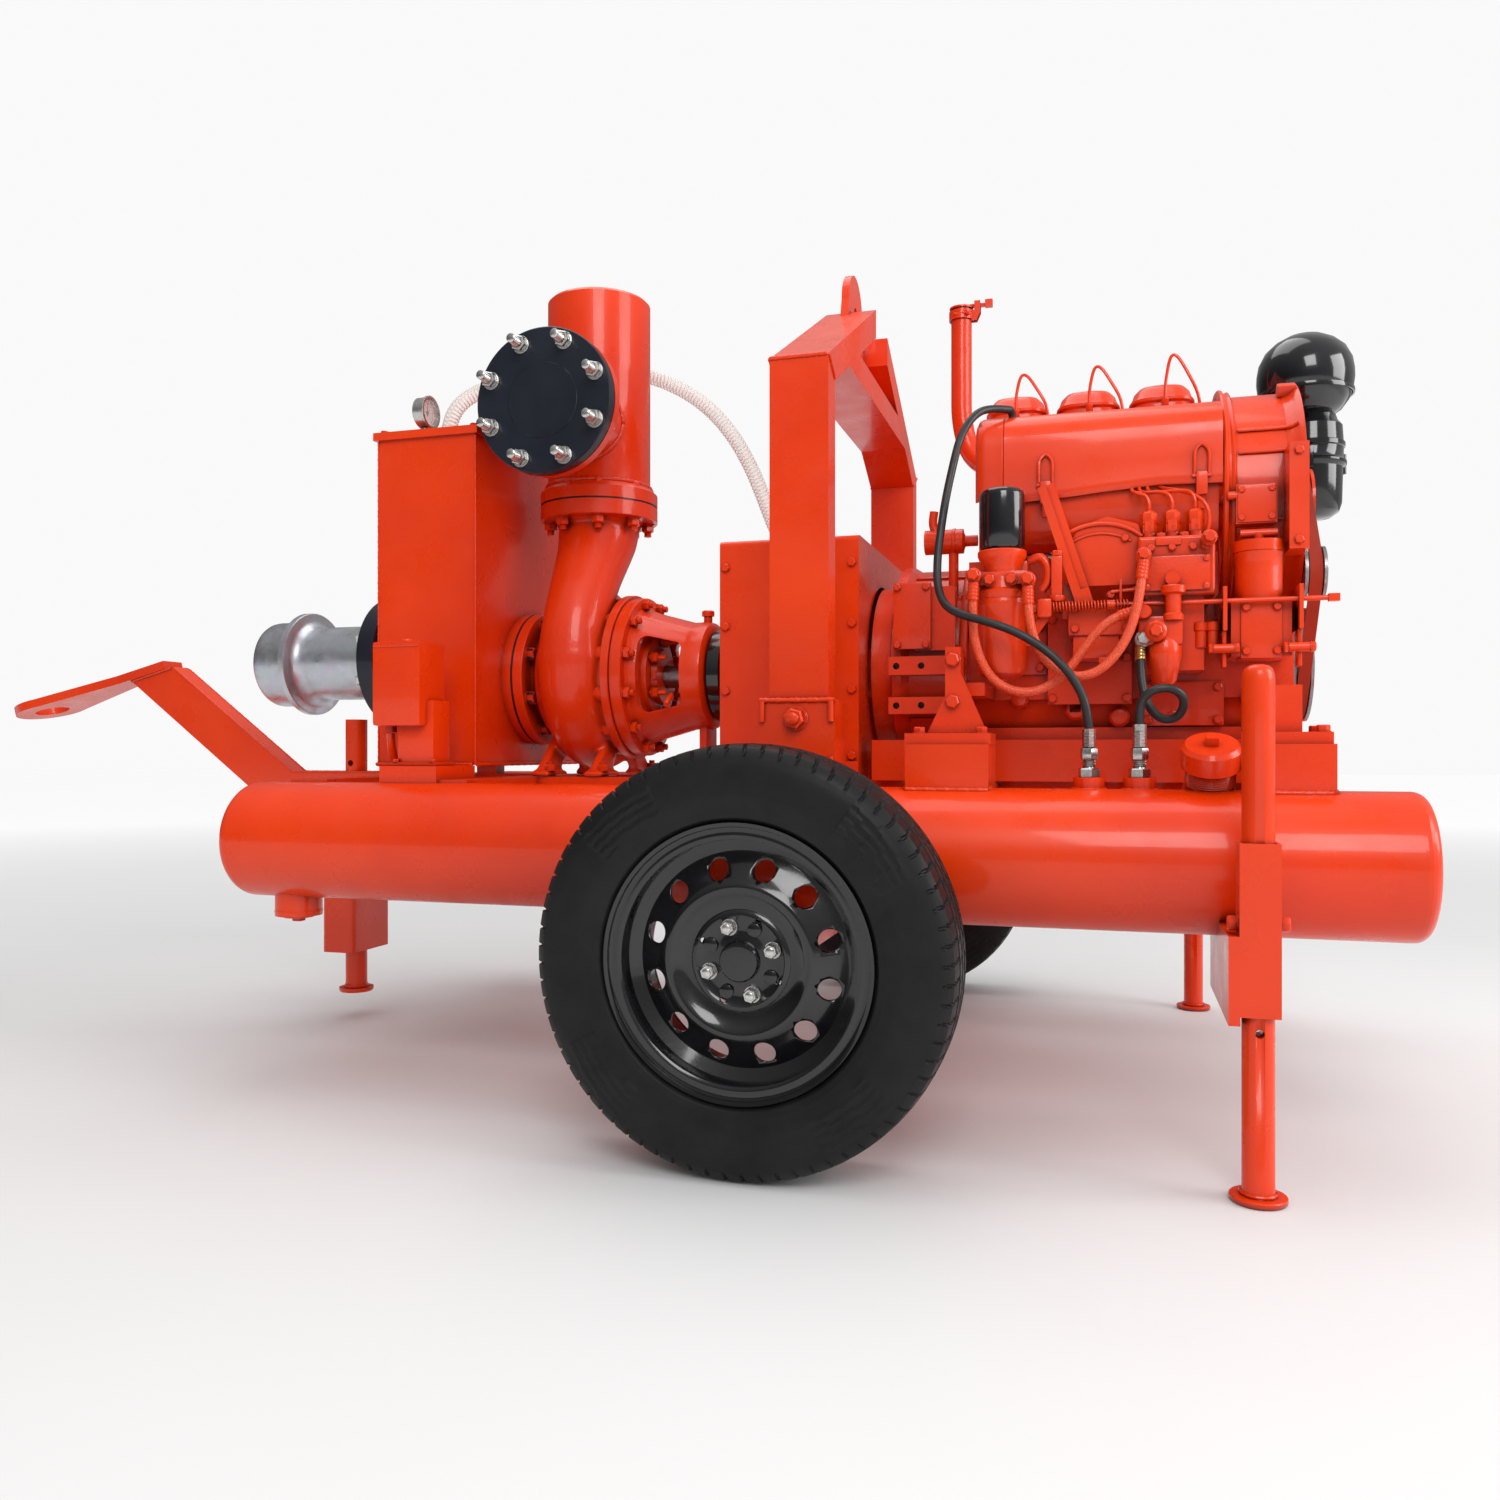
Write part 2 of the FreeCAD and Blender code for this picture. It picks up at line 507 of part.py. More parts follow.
def build_pump():
    centre = ("0", "shaft_height")
    front, back = "casing_front", "casing_back"
    scroll = turned("x", centre, [(front, "0"), (front, "120"), (front + " + 18", "160"),
                                  (front + " + 50", "188"),
                                  ("-570", "scroll_radius"), ("-530", "scroll_radius"),
                                  (back + " - 45", "190"),
                                  (back + " - 16", "170"), (back, "bracket_radius"), (back, "0")])
    inlet = turned("x", centre, [("joint_x + gasket", "0"), ("joint_x + gasket", "flange_radius"),
                                 ("joint_x + gasket + flange_thick", "flange_radius"),
                                 ("joint_x + gasket + flange_thick", "100"), ("casing_front + 10", "112"),
                                 ("casing_front + 10", "0")])
    outlet = rod("z", "1098 : outlet_top", ("outlet_x", "0"), "outlet_flange")
    feet = [slab("yz", span, [(side + "60", "620"), (side + "150", "member_top"), (side + "70", "member_top"),
                              (side + "20", "620")])
            for side in ("-", "") for span in ("casing_front + 22 : casing_front + 62",
                                               "casing_back - 52 : casing_back - 22")]
    chamber = rod("x", "casing_front + 22 : casing_back + 1", centre, "chamber_radius")
    eye = rod("x", "joint_x : casing_front + 30", centre, "suction_bore")
    throat = rod("z", "1095 : outlet_top + 1", ("outlet_x", "0"), "76")
    solid = join(scroll, inlet, neck(("78", "70", "72", "86")), outlet, *feet)
    node("pump_casing", cut(solid, chamber, eye, neck(("58", "56", "58", "74")), throat))

    plate = rod("x", "casing_back : casing_back + 25", centre, "bracket_radius")
    rim = rod("x", "casing_back - 14 : casing_back + 1", centre, "chamber_radius - 0.3")
    lantern = cone("x", "casing_back + 24 : -296", centre, "140", "112")
    inner = cone("x", "casing_back + 40 : -322", centre, "122", "98")
    housing = turned("x", centre, [("-323", "0"), ("-323", "106"), ("-297", "113"), ("-286", "110"),
                                   ("-280", "housing_radius"), ("-280", "0")])
    window = box("casing_back + 43 : -326", "-200 : 200", "shaft_height - 80 : shaft_height + 80")
    gland = rod("x", "casing_back + 20 : casing_back + 62", centre, "58")
    studs = [rod("x", "casing_back + 20 : casing_back + 84", (y, "shaft_height + " + z), "6")
             for y, z in ring_points(4, "70", 45)]
    foot = slab("yz", "-318 : -286", [("-60", "member_top"), ("60", "member_top"), ("40", "700"),
                                      ("-40", "700")])
    bore = rod("x", "casing_back - 20 : -270", centre, "shaft_radius + running_gap")
    shell = cut(join(plate, rim, lantern), inner, window)
    node("pump_bracket", cut(join(shell, housing, gland, foot, *studs), bore))

    wheel = turned("x", centre, [("-606", "26"), ("-612", "66"), ("-604", "70"), ("-560", "impeller_radius"),
                                 ("-520", "impeller_radius"), ("-512", "60"), ("-500", "40"), ("-500", "0"),
                                 ("-626", "0"), ("-620", "20")])
    shaft = rod("x", "-520 : -70", centre, "shaft_radius")
    half = turned("x", centre, [("-274", "0"), ("-274", "88"), ("-250", "88"), ("-250", "50"),
                                ("-232", "40"), ("-232", "0")])
    drive = turned("x", centre, [("-110", "0"), ("-110", "60"), ("-90", "60"), ("-90", "100"), ("-66", "100"),
                                 ("-66", "0")])
    node("pump_rotor", join(wheel, shaft, half, drive))


def build_discharge():
    x = "outlet_x"
    base = turned("z", (x, "0"), [("outlet_top + gasket", "0"), ("outlet_top + gasket", "outlet_flange"),
                                  ("outlet_top + gasket + 24", "outlet_flange"), ("1172", "riser_radius"),
                                  ("riser_top - 6", "riser_radius"), ("riser_top", "riser_radius - 6"),
                                  ("riser_top", "0")])
    branch = rod("y", "-225 : 0", (x, "branch_height"), "branch_radius")
    flange = rod("y", "blind_face + flange_thick + gasket : -225", (x, "branch_height"), "flange_radius")
    inside = rod("z", "outlet_top + gasket + 30 : riser_top - riser_wall", (x, "0"),
                 "riser_radius - riser_wall")
    throat = rod("z", "outlet_top : outlet_top + gasket + 31", (x, "0"), "76")
    opening = rod("y", "-260 : 0", (x, "branch_height"), "suction_bore")
    holes = [rod("y", "-260 : -200", (x + "+" + dx, "branch_height + " + dz), "stud_radius + 1")
             for dx, dz in ring_points(8, "stud_circle", 22.5)]
    node("riser_pipe", cut(join(base, branch, flange), inside, throat, opening, *holes))

    disc = rod("y", "blind_face : blind_face + flange_thick", (x, "branch_height"), "flange_radius")
    boss = rod("y", "blind_face - 2 : blind_face + 1", (x, "branch_height"), "72")
    holes = [rod("y", "-300 : -200", (x + "+" + dx, "branch_height + " + dz), "stud_radius + 1")
             for dx, dz in ring_points(8, "stud_circle", 22.5)]
    node("blind_flange", cut(join(disc, boss), *holes))
    node("black_flange_rings",
         tube("x", "-1060 : -1020", ("0", "suction_height"), "flange_radius", "suction_bore"),
         tube("x", "joint_x : joint_x + gasket", ("0", "shaft_height"), "flange_radius - 1", "suction_bore"),
         tube("z", "outlet_top : outlet_top + gasket", (x, "0"), "outlet_flange - 1", "76"),
         tube("y", "blind_face + flange_thick : blind_face + flange_thick + gasket", (x, "branch_height"),
              "109", "suction_bore"))


def build_fasteners():
    zinc = []
    for dx, dz in ring_points(8, "stud_circle", 22.5):
        centre = ("outlet_x + " + dx, "branch_height + " + dz)
        stud = rod("y", "-316 : -198", centre, "stud_radius")
        washer = rod("y", "blind_face - 4 : blind_face", centre, "19")
        outer = nut("y", "blind_face - 21 : blind_face - 4", centre, "30")
        zinc.append(join(stud, washer, outer))
    for x, height in (("first_boss", "643"), ("second_boss", "650")):
        bush = nut("z", "boss_top : boss_top + 14", (x, "boss_side"), "34")
        body = rod("z", "boss_top + 13 : boss_top + 40", (x, "boss_side"), "10")
        collar = nut("z", "boss_top + 38 : boss_top + 56", (x, "boss_side"), "24")
        sleeve = rod("z", "boss_top + 55 : %s" % height, (x, "boss_side"), "11")
        zinc.append(join(bush, body, collar, sleeve))
    node("zinc_fittings", *zinc)

    painted = []
    for dx, dy in ring_points(8, "104", 22.5):
        centre = ("outlet_x + " + dx, dy)
        painted.append(nut("z", "1083 : 1098", centre, "24"))
    for y, z in ring_points(8, "153.5", 22.5):
        painted.append(nut("x", "casing_back + 25 : casing_back + 40", (y, "shaft_height + " + z), "24"))
    for side in ("-", ""):
        span = "-483 - 9 : -483" if side else "483 : 483 + 9"
        painted.append(nut("y", span, ("13", "661"), "30"))
    for side in ("-", ""):
        for span in ("jack_x - socket_half - 26 : jack_x - socket_half - 14",
                     "jack_x + socket_half : jack_x + socket_half + 14"):
            painted.append(nut("x", span, (side + "jack_side", "375"), "19"))
    node("painted_fasteners", *painted)


def build_junction_box():
    case = rounded(box("-830 : -727", "-420 : -330", "655 : 815"), "5", lambda edge: edge.Length > 50)
    lug = rod("z", "814 : 822", ("-780", "-375"), "12")
    posts = [box("-760 : -712", "-392 : -384", "tank_low : 700"),
             box("-752 : -720", "-360 : -352", "tank_low : 700")]
    plate = box("-790 : -700", "-400 : -340", "tank_low : tank_low + 6")
    node("junction_box", join(case, lug, plate, *posts))


def build_guard():
    x, y, z = "guard_front : guard_back", "-guard_half : guard_half", "member_top : guard_top"
    inner = box("guard_front + sheet : guard_back - sheet", "sheet - guard_half : guard_half - sheet",
                "member_top - 1 : guard_top - sheet")
    shell = rounded(box(x, y, z), "10",
                    lambda edge: runs(edge, Vector(1, 0, 0)) and edge.CenterOfMass.z > 900)
    throats = [rod("x", "guard_front - 5 : guard_front + 10", ("0", "shaft_height"), "40"),
               rod("x", "guard_back - 10 : guard_back + 5", ("0", "shaft_height"), "170"),
               rod("z", "guard_top - 10 : guard_top + 5", ("-150", "130"), "16")]
    node("coupling_guard", cut(shell, inner, *throats))
    centre = ("130", "890")
    case = turned("x", centre, [("-170", "0"), ("-170", "62"), ("-150", "70"), ("-60", "70"), ("-50", "30"),
                                ("-20", "30"), ("-20", "0")])
    leg = box("-160 : -80", "110 : 150", "member_top : 840")
    port = rod("z", "940 : guard_top + 5", ("-150", "130"), "15")
    node("vacuum_pump", join(case, leg, port))


def build_lifting_frame():
    """Two mitred box posts whose tips hold an eye plate, with a tie between their slopes."""
    def sections(side, tip, inset):
        def slope(corner, y, shift):
            return "%s + (%s - (%s))*rise + (%s)" % (corner[0], corner[1], y, shift)
        outer, inner, end = ("(post_outer - %s)" % inset, "(post_inner + %s)" % inset,
                             "(%s + %s)" % (tip, inset))
        over, under = ("kink", "post_outer"), ("inner_kink", "post_inner")
        mitre = [(outer, slope(over, outer, "-%s*1.13" % inset)),
                 (inner, slope(under, inner, "%s*1.13" % inset))]
        leg = [(outer, "post_low")] + mitre + [(inner, "post_low")]
        arm = mitre + [(end, slope(under, end, "%s*1.13" % inset)),
                       (end, slope(over, end, "-%s*1.13" % inset))]
        return [[("%s(%s)" % (side, y), z) for y, z in part] for part in (leg, arm)]
    pieces = []
    for side, tip in (("-", "near_tip"), ("", "far_tip")):
        for solid, hollow in zip(sections(side, tip, "0"), sections(side, tip, "beam_wall")):
            pieces.append(cut(slab("yz", "post_front : post_back", solid),
                              slab("yz", "post_front + beam_wall : post_back - beam_wall", hollow)))
    plate = join(slab("yz", "-2 : 13", [("-120", "tie_top - 1"), ("-65", "eye_height + 15"),
                                        ("65", "eye_height + 15"), ("120", "tie_top - 1")]),
                 rod("x", "-2 : 13", ("0", "eye_height + 15"), "65"))
    pieces.append(cut(plate, rod("x", "-10 : 20", ("0", "eye_height"), "eye_hole")))
    arms = join(pieces[1], pieces[3], box("post_front : post_back", "-310 : 310", "tie_low : tie_top"),
                pieces[4])
    node("lifting_frame", pieces[0], pieces[2], arms)


# ---------------------------------------------------------------- engine
def cylinder_places():
    return ["cylinder_first + cylinder_pitch*%d" % i for i in range(3)]


def build_engine_block():
    centre = ("0", "shaft_height")
    bell = turned("x", centre, [("bell_front", "185"), ("bell_front", "bell_radius"),
                                ("bell_front + 16", "bell_radius"),
                                ("bell_front + 30", "196"), ("bell_back - 12", "196"), ("bell_back", "188"),
                                ("bell_back", "60"), ("bell_back - 20", "60"), ("bell_back - 20", "185")])
    lugs = [box("bell_front : bell_back - 5", side, z) for z in ("675 : 705", "745 : 778")
            for side in ("-238 : -180", "180 : 238")]
    holes = [rod("y", "-245 : -215", (x, z), "6") for x in ("136", "181") for z in ("690", "761")]
    cover = box("165 : 238", "-212 : -180", "790 : 905")
    breather = join(rod("z", "900 : 985", ("228", "-150"), "9"),
                    rod("x", "176 : 246", ("-150", "995"), "22.5"))
    bore = rod("x", "bell_front - 1 : bell_back - 20", centre, "185")
    node("flywheel_housing", cut(join(bell, *lugs, cover, breather), bore, *holes))

    x_span = "bell_back : block_back"
    block = box("bell_back : fan_front - 4", "-block_half : block_half", "block_low + 60 : block_top")
    tail = box(x_span, "-block_half : block_half", "block_low + 60 : block_tail_top")
    waist = slab("yz", x_span, [("-150", "block_low"), ("150", "block_low"), ("block_half", "block_low + 90"),
                                ("-block_half", "block_low + 90")])
    flange = box("bell_back + 5 : block_back - 5", "-175 : 175", "block_low - 12 : block_low + 10")
    sump = box("300 : 770", "-125 : 125", "570 : block_low")
    oil_block = box("690 : 780", "oil_y - 35 : -block_half", "760 : 850")
    canister = rod("z", "840 : 930", ("oil_x", "oil_y"), "35")
    camcover = box("400 : 540", "-215 : -block_half", "690 : 848")
    well = rod("z", "870 : 940", ("oil_x", "oil_y"), "28")
    gallery = rod("x", "240 : 820", centre, "38")
    body = join(block, tail, waist, flange, sump, oil_block, canister, camcover)
    node("crankcase", cut(body, well, gallery))

    barrels = []
    for x in cylinder_places():
        stack = [rod("z", "block_top : cylinder_top", (x, "0"), "barrel_radius")]
        for i in range(17):
            low = "block_top + 12 + fin_pitch*%d" % i
            stack.append(rod("z", low + " : " + low + " + fin_thick", (x, "0"), "fin_radius"))
        stack.append(box("%s - 60 : %s + 60" % (x, x), "-75 : 75", "1145 : cylinder_top"))
        barrels.append(join(*stack))
    node("engine_cylinders", *barrels)
    covers = []
    for x in cylinder_places():
        cover = rounded(box("%s - 52 : %s + 52" % (x, x), "-85 : 60", "cylinder_top : 1280"), "14",
                        lambda edge: edge.CenterOfMass.z > value("cylinder_top") + 5)
        covers.append(join(cover, rod("z", "1278 : 1292", (x, "-12"), "12")))
    node("rocker_covers", *covers)


def build_cowl():
    inner_side = "cowl_side + sheet"
    outline = [("cowl_side", "cowl_low"), ("cowl_side", "1150"), ("-236", "1178"), ("-205", "cowl_top - 4"),
               ("-180", "cowl_top"), ("-88", "cowl_top"), ("-88", "cowl_top - sheet"),
               ("-181", "cowl_top - sheet"),
               ("-203", "cowl_top - 8"), ("-233", "1175"), (inner_side, "1149"), (inner_side, "cowl_low")]
    skin = slab("yz", "cowl_front : cowl_back", outline)
    skirt = box("cowl_front + 12 : cowl_back - 10", "cowl_side + 14 : cowl_side + 18", "965 : cowl_low + 12")
    lip = box("cowl_front : cowl_back", "cowl_side - 6 : cowl_side + 18", "cowl_low - 4 : cowl_low + 4")
    end = slab("yz", "cowl_front : cowl_front + sheet",
               [("cowl_side", "cowl_low"), ("cowl_side", "1150"), ("-236", "1178"), ("-205", "cowl_top - 4"),
                ("-180", "cowl_top"), ("-88", "cowl_top"), ("-88", "cowl_low")])
    clips = [join(box("%s - 11 : %s + 11" % (x, x), "cowl_side - 12 : cowl_side", "1010 : 1075"),
                  rod("y", "cowl_side - 16 : cowl_side", (x, "1072"), "12")) for x in ("398", "650")]
    node("engine_cowl", join(skin, skirt, lip, end, *clips))


def build_cooling():
    centre = ("fan_y", "fan_height")
    shell = turned("x", centre, [("fan_front", "fan_radius - 4"), ("fan_front", "fan_radius + 8"),
                                 ("fan_front + 8", "fan_radius + 8"), ("fan_front + 12", "fan_radius"),
                                 ("fan_back - 20", "fan_radius"), ("fan_back", "fan_radius + 14"),
                                 ("fan_back", "fan_radius + 8"), ("fan_back - 20", "fan_radius - 6"),
                                 ("fan_front + 12", "fan_radius - 6")])
    hub = tube("x", "fan_front + 2 : fan_front + 45", centre, "48", "20 + running_gap")
    vanes = [sized("Part::Box", ("fan_front + 6", "fan_y", "fan_height"),
                   Rotation(Vector(1, 0, 0), 30 + 60 * i),
                   Length="30", Width="4", Height="fan_radius - 3") for i in range(6)]
    clear = rod("x", "fan_front : fan_front + 60", centre, "20 + running_gap")
    duct = box("777 : 806", "-306 : -225", "930 : 1100")
    cover = box("702 : 764", "-268 : -230", "980 : 1045")
    sweep = rod("x", "fan_front : fan_back + 20", centre, "fan_radius - 6")
    outside = cut(join(shell, duct, cover), sweep)
    ring = cut(join(outside, hub, *vanes), clear)
    node("fan_housing", ring)

    boss = rod("x", "fan_front + 48 : fan_front + 100", centre, "60")
    axle = rod("x", "fan_front - 5 : belt_x - 4", centre, "20")
    blades = [sized("Part::Box", ("fan_front + 56", "fan_y", "fan_height"), Rotation(Vector(1, 0, 0), 36 * i),
                    Length="38", Width="5", Height="fan_radius - 12") for i in range(10)]
    node("cooling_fan", join(boss, axle, *blades, pulley(centre, "fan_pulley")))
    node("crank_pulley", join(pulley(("0", "shaft_height"), "crank_pulley"),
                              rod("x", "700 : belt_x", ("0", "shaft_height"), "30")))
    idler = ("idler_y", "idler_height")
    node("idler_pulley", join(pulley(idler, "idler_pulley"),
                              rod("x", "fan_back + 2 : belt_x", idler, "9")))
    circles = [(value("idler_y"), value("idler_height"), value("idler_pulley")),
               (0.0, value("shaft_height"), value("crank_pulley")),
               (value("fan_y"), value("fan_height"), value("fan_pulley"))]
    node("fan_belt", belt_loop(circles))


def pulley(centre, radius):
    """Grooved wheel whose belt line is at belt_x."""
    half = "belt_width/2"
    profile = [("belt_x - %s - 7" % half, "0"), ("belt_x - %s - 7" % half, radius + " + 8"),
               ("belt_x - %s - 2" % half, radius + " + 8"), ("belt_x - %s + 3" % half, radius + " - 4"),
               ("belt_x + %s - 3" % half, radius + " - 4"), ("belt_x + %s + 2" % half, radius + " + 8"),
               ("belt_x + %s + 7" % half, radius + " + 8"), ("belt_x + %s + 7" % half, "0")]
    return turned("x", centre, profile)


def belt_loop(circles):
    """Belt round circles given as y, z and radius, in the order it passes them."""
    def outline(extra):
        edges, joints = [], []
        for (y0, z0, r0), (y1, z1, r1) in zip(circles, circles[1:] + circles[:1]):
            span = math.hypot(y1 - y0, z1 - z0)
            heading = math.atan2(z1 - z0, y1 - y0)
            lean = math.acos((r0 - r1) / span)
            angle = heading - lean
            joints.append([(y + (r + extra) * math.cos(angle), z + (r + extra) * math.sin(angle))
                           for y, z, r in ((y0, z0, r0), (y1, z1, r1))] + [angle])
        for i, (start, stop, angle) in enumerate(joints):
            edges.append(Part.LineSegment(Vector(0, *start), Vector(0, *stop)).toShape())
            following = joints[(i + 1) % len(joints)]
            y, z, r = circles[(i + 1) % len(circles)]
            turn = (following[2] - angle) % (2 * math.pi)
            middle = angle + turn / 2
            point = Vector(0, y + (r + extra) * math.cos(middle), z + (r + extra) * math.sin(middle))
            edges.append(Part.Arc(Vector(0, *stop), point, Vector(0, *following[0])).toShape())
        return Part.Face(Part.Wire(edges))
    width = value("belt_width") - 6
    ring = outline(7).extrude(Vector(width, 0, 0)).cut(outline(0.3).extrude(Vector(width, 0, 0)))
    belt = doc.addObject("Part::Feature", "Belt")
    belt.Shape = ring
    belt.Placement = Placement(Vector(value("belt_x") - width / 2, 0, 0), UPRIGHT)
    return belt


def build_flywheel():
    centre = ("0", "shaft_height")
    node("flywheel", turned("x", centre, [
        ("-66", "0"), ("-66", "100"), ("-40", "100"), ("-40", "50"), ("76", "50"), ("76", "165"),
        ("112", "165"),
        ("116", "178"), ("160", "178"), ("160", "60"), ("bell_back - 22", "34"), ("700", "34"),
        ("700", "0")]))


def build_mounts():
    """Feet that carry the engine: gusseted channel posts in front, box feet behind."""
    pieces = []
    for side in ("-", ""):
        def across(low, high):
            return "%s%d : %s%d" % ((side, high, side, low) if side else (side, low, side, high))
        plate = box("185 : 322", across(345, 445), "619 : 637")
        gusset = slab("xz", across(400, 410), [("216", "636"), ("246", "698"), ("246", "778"), ("271", "778"),
                                               ("271", "736"), ("314", "636")])
        webs = [box(x, across(360, 401), "636 : 778") for x in ("246 : 250", "263 : 271")]
        arm = box("263 : 305", across(185, 361), "700 : 722")
        pieces.append(join(plate, gusset, arm, *webs))
        foot = box("708 : 818", across(345, 445), "619 : 637")
        body = box("735 : 782", across(345, 400), "636 : 709")
        pieces.append(join(foot, body, box("735 : 782", across(185, 346), "690 : 709")))
    node("engine_mounts", *pieces)


# ---------------------------------------------------------------- fuel system and controls
def build_fuel_system():
    centre = ("filter_x", "filter_y")
    can = turned("z", centre, [("945", "0"), ("945", "34"), ("950", "filter_radius"),
                               ("1042", "filter_radius"),
                               ("1050", "30"), ("1050", "0")])
    node("fuel_filter", can)
    bowl = turned("z", centre, [("725", "0"), ("725", "30"), ("735", "40"), ("845", "42"), ("860", "42"),
                                ("860", "0")])
    head = turned("z", centre, [("858", "0"), ("858", "46"), ("875", "46"), ("900", "36"), ("944.7", "36"),
                                ("944.7", "0")])
    arm = box("filter_x - 30 : filter_x + 40", "filter_y + 10 : -block_half", "884 : 926")
    banjos = [rod("y", "-372 : -330", (x, z), "10") for x, z in (("287", "900"), ("375", "890"))]
    bridge = rod("x", "290 : 372", ("-345", "896"), "7")
    node("filter_head", join(bowl, head, arm, bridge, *banjos))

    y = "pump_face : -block_half"
    pump = rounded(box("548 : 666", y, "860 : 958"), "6", lambda edge: edge.CenterOfMass.y < -300)
    lower = box("560 : 650", "pump_face + 15 : -block_half", "740 : 862")
    valves = [join(rod("z", "956 : 985", (x, "-285"), "11"), nut("z", "970 : 988", (x, "-285"), "24"),
                   rod("z", "985 : 1000", (x, "-285"), "7")) for x in ("566", "602", "638")]
    primer = rod("y", "-345 : -315", ("600", "885"), "11")
    banjos = [rod("y", "-350 : -312", (x, z), "9") for x, z in (("556", "832"), ("556", "925"))]
    quadrant = slab("xz", "-290 : -284", [("430", "940"), ("455", "985"), ("500", "1000"), ("548", "985"),
                                          ("560", "950"), ("560", "885"), ("440", "885")])
    bracket = box("428 : 470", "-296 : -284", "830 : 890")
    post = box("440 : 470", "-290 : -block_half", "850 : 880")
    guides = [box("%s - 3 : %s + 3" % (x, x), "rod_y - 14 : -block_half", "800 : rod_z + 22")
              for x in ("679", "790")]
    pivot = rod("y", "-312 : -290", ("lever_x", "lever_z"), "6")
    holes = [rod("x", "600 : 800", ("rod_y", "rod_z"), "4 + running_gap")]
    joined = join(pump, lower, primer, quadrant, bracket, post, pivot, *banjos, *valves, *guides)
    node("injection_pump", cut(joined, *holes))


def build_controls():
    lean = Rotation(Vector(0, 1, 0), -17.5)
    arm = cut(sized("Part::Box", ("lever_x - 14", "-310.3", "lever_z - 12"), lean, Length="28", Width="14",
                    Height="215"),
              sized("Part::Box", ("lever_x - 9", "-311", "lever_z + 20"), lean, Length="18", Width="8",
                    Height="200"),
              rod("y", "-320 : -280", ("lever_x", "lever_z"), "6 + running_gap"))
    node("throttle_lever", arm)
    bar = rod("x", "500 : 842", ("rod_y", "rod_z"), "4")
    collar = rod("x", "500 : 512", ("rod_y", "rod_z"), "8")
    clevis = box("830 : 846", "rod_y - 6 : rod_y + 6", "rod_z - 6 : rod_z + 6")
    node("control_rod", join(bar, collar, clevis))
    cap = join(rod("z", "930.3 : 948", ("oil_x", "oil_y"), "38"),
               rod("z", "915 : 931", ("oil_x", "oil_y"), "27.7"),
               rod("z", "947 : 962", ("oil_x", "oil_y"), "8"),
               rod("x", "oil_x - 28 : oil_x + 28", ("oil_y", "962"), "7"))
    node("oil_cap", cap)
    cap = join(turned("z", ("0", "0"), [("neck_rise + 0.3", "0"), ("neck_rise + 0.3", "44"),
                                        ("neck_rise + 30", "44"),
                                        ("neck_rise + 36", "38"), ("neck_rise + 36", "0")]),
               rod("z", "neck_rise - 12 : neck_rise + 1", ("0", "0"), "neck_bore - 0.3"),
               box("-9 : 9", "-9 : 9", "neck_rise + 35 : neck_rise + 50"))
    cap = leaned(cap)
    node("fuel_cap", cap)


# ---------------------------------------------------------------- exhaust and intake
def build_exhaust():
    y, r = "exhaust_y", "exhaust_radius"
    pipe = bent_tube([("exhaust_x + 150", "exhaust_y - 70", "1180"),
                      ("exhaust_x + 80", "exhaust_y - 35", "1215"),
                      ("exhaust_x + 20", y, "1260"), ("exhaust_x", y, "1340"),
                      ("exhaust_x", y + " + 1", "1450"),
                      ("exhaust_x", y, "exhaust_top - 14")], r)
    mouth = rod("z", "exhaust_top - 100 : exhaust_top - 13", ("exhaust_x", y), r + " - 3")
    manifold = rod("x", "300 : 640", ("exhaust_y - 75", "1180"), "32")
    ports = [rod("y", "75 : exhaust_y - 70", (x, "1180"), "24") for x in cylinder_places()]
    ears = [slab("xz", "%s : %s + 3" % (ear, ear), [("exhaust_x + 18", "1560"), ("exhaust_x + 34", "1560"),
                                                    ("exhaust_x + 42", "1578"), ("exhaust_x + 42", "1602"),
                                                    ("exhaust_x + 29", "1602"), ("exhaust_x + 29", "1582"),
                                                    ("exhaust_x + 18", "1582")]) for ear in ("290", "307")]
    node("exhaust_pipe", cut(join(pipe, manifold, *ports, *ears), mouth))
    lid = rod("z", "exhaust_top - 13 : exhaust_top - 9", ("exhaust_x", y), "26")
    arm = box("exhaust_x : exhaust_x + 62", "296 : 304", "exhaust_top - 10 : exhaust_top - 3")
    knuckle = rod("y", "293.5 : 306.5", ("exhaust_x + 35", "exhaust_top - 10"), "6")
    weight = box("exhaust_x + 52 : exhaust_x + 68", "294 : 306", "exhaust_top - 12 : exhaust_top + 4")
    node("rain_cap", join(lid, arm, knuckle, weight))


def build_air_cleaner():
    centre = ("cleaner_x", "cleaner_y")
    dome = ball(("cleaner_x - 10", "cleaner_y - 10", "dome_height"), "dome_radius")
    body = turned("z", centre, [("1060", "0"), ("1060", "44"), ("1075", "58"), ("1160", "60"), ("1163", "66"),
                                ("1172", "66"), ("1175", "60"), ("1250", "60"), ("1265", "48"),
                                ("1320", "48"),
                                ("1320", "0")])
    side = box("cleaner_x - 75 : cleaner_x - 40", "cleaner_y - 45 : cleaner_y + 45", "1195 : 1245")
    duct = bent_tube([("cleaner_x - 60", "cleaner_y", "1222"), ("cleaner_x - 120", "cleaner_y + 6", "1228"),
                      ("cleaner_x - 190", "cleaner_y - 4", "1246"),
                      ("cleaner_x - 260", "cleaner_y - 25", "1250"),
                      ("cleaner_x - 320", "cleaner_y - 40", "1245")], "30")
    bracket = box("block_back - 20 : cleaner_x - 40", "cleaner_y - 12 : cleaner_y + 12", "1090 : 1100")
    strut = box("block_back - 20 : block_back - 8", "150 : cleaner_y + 12", "block_tail_top : 1100")
    node("air_cleaner", join(dome, body, side, duct, bracket, strut))


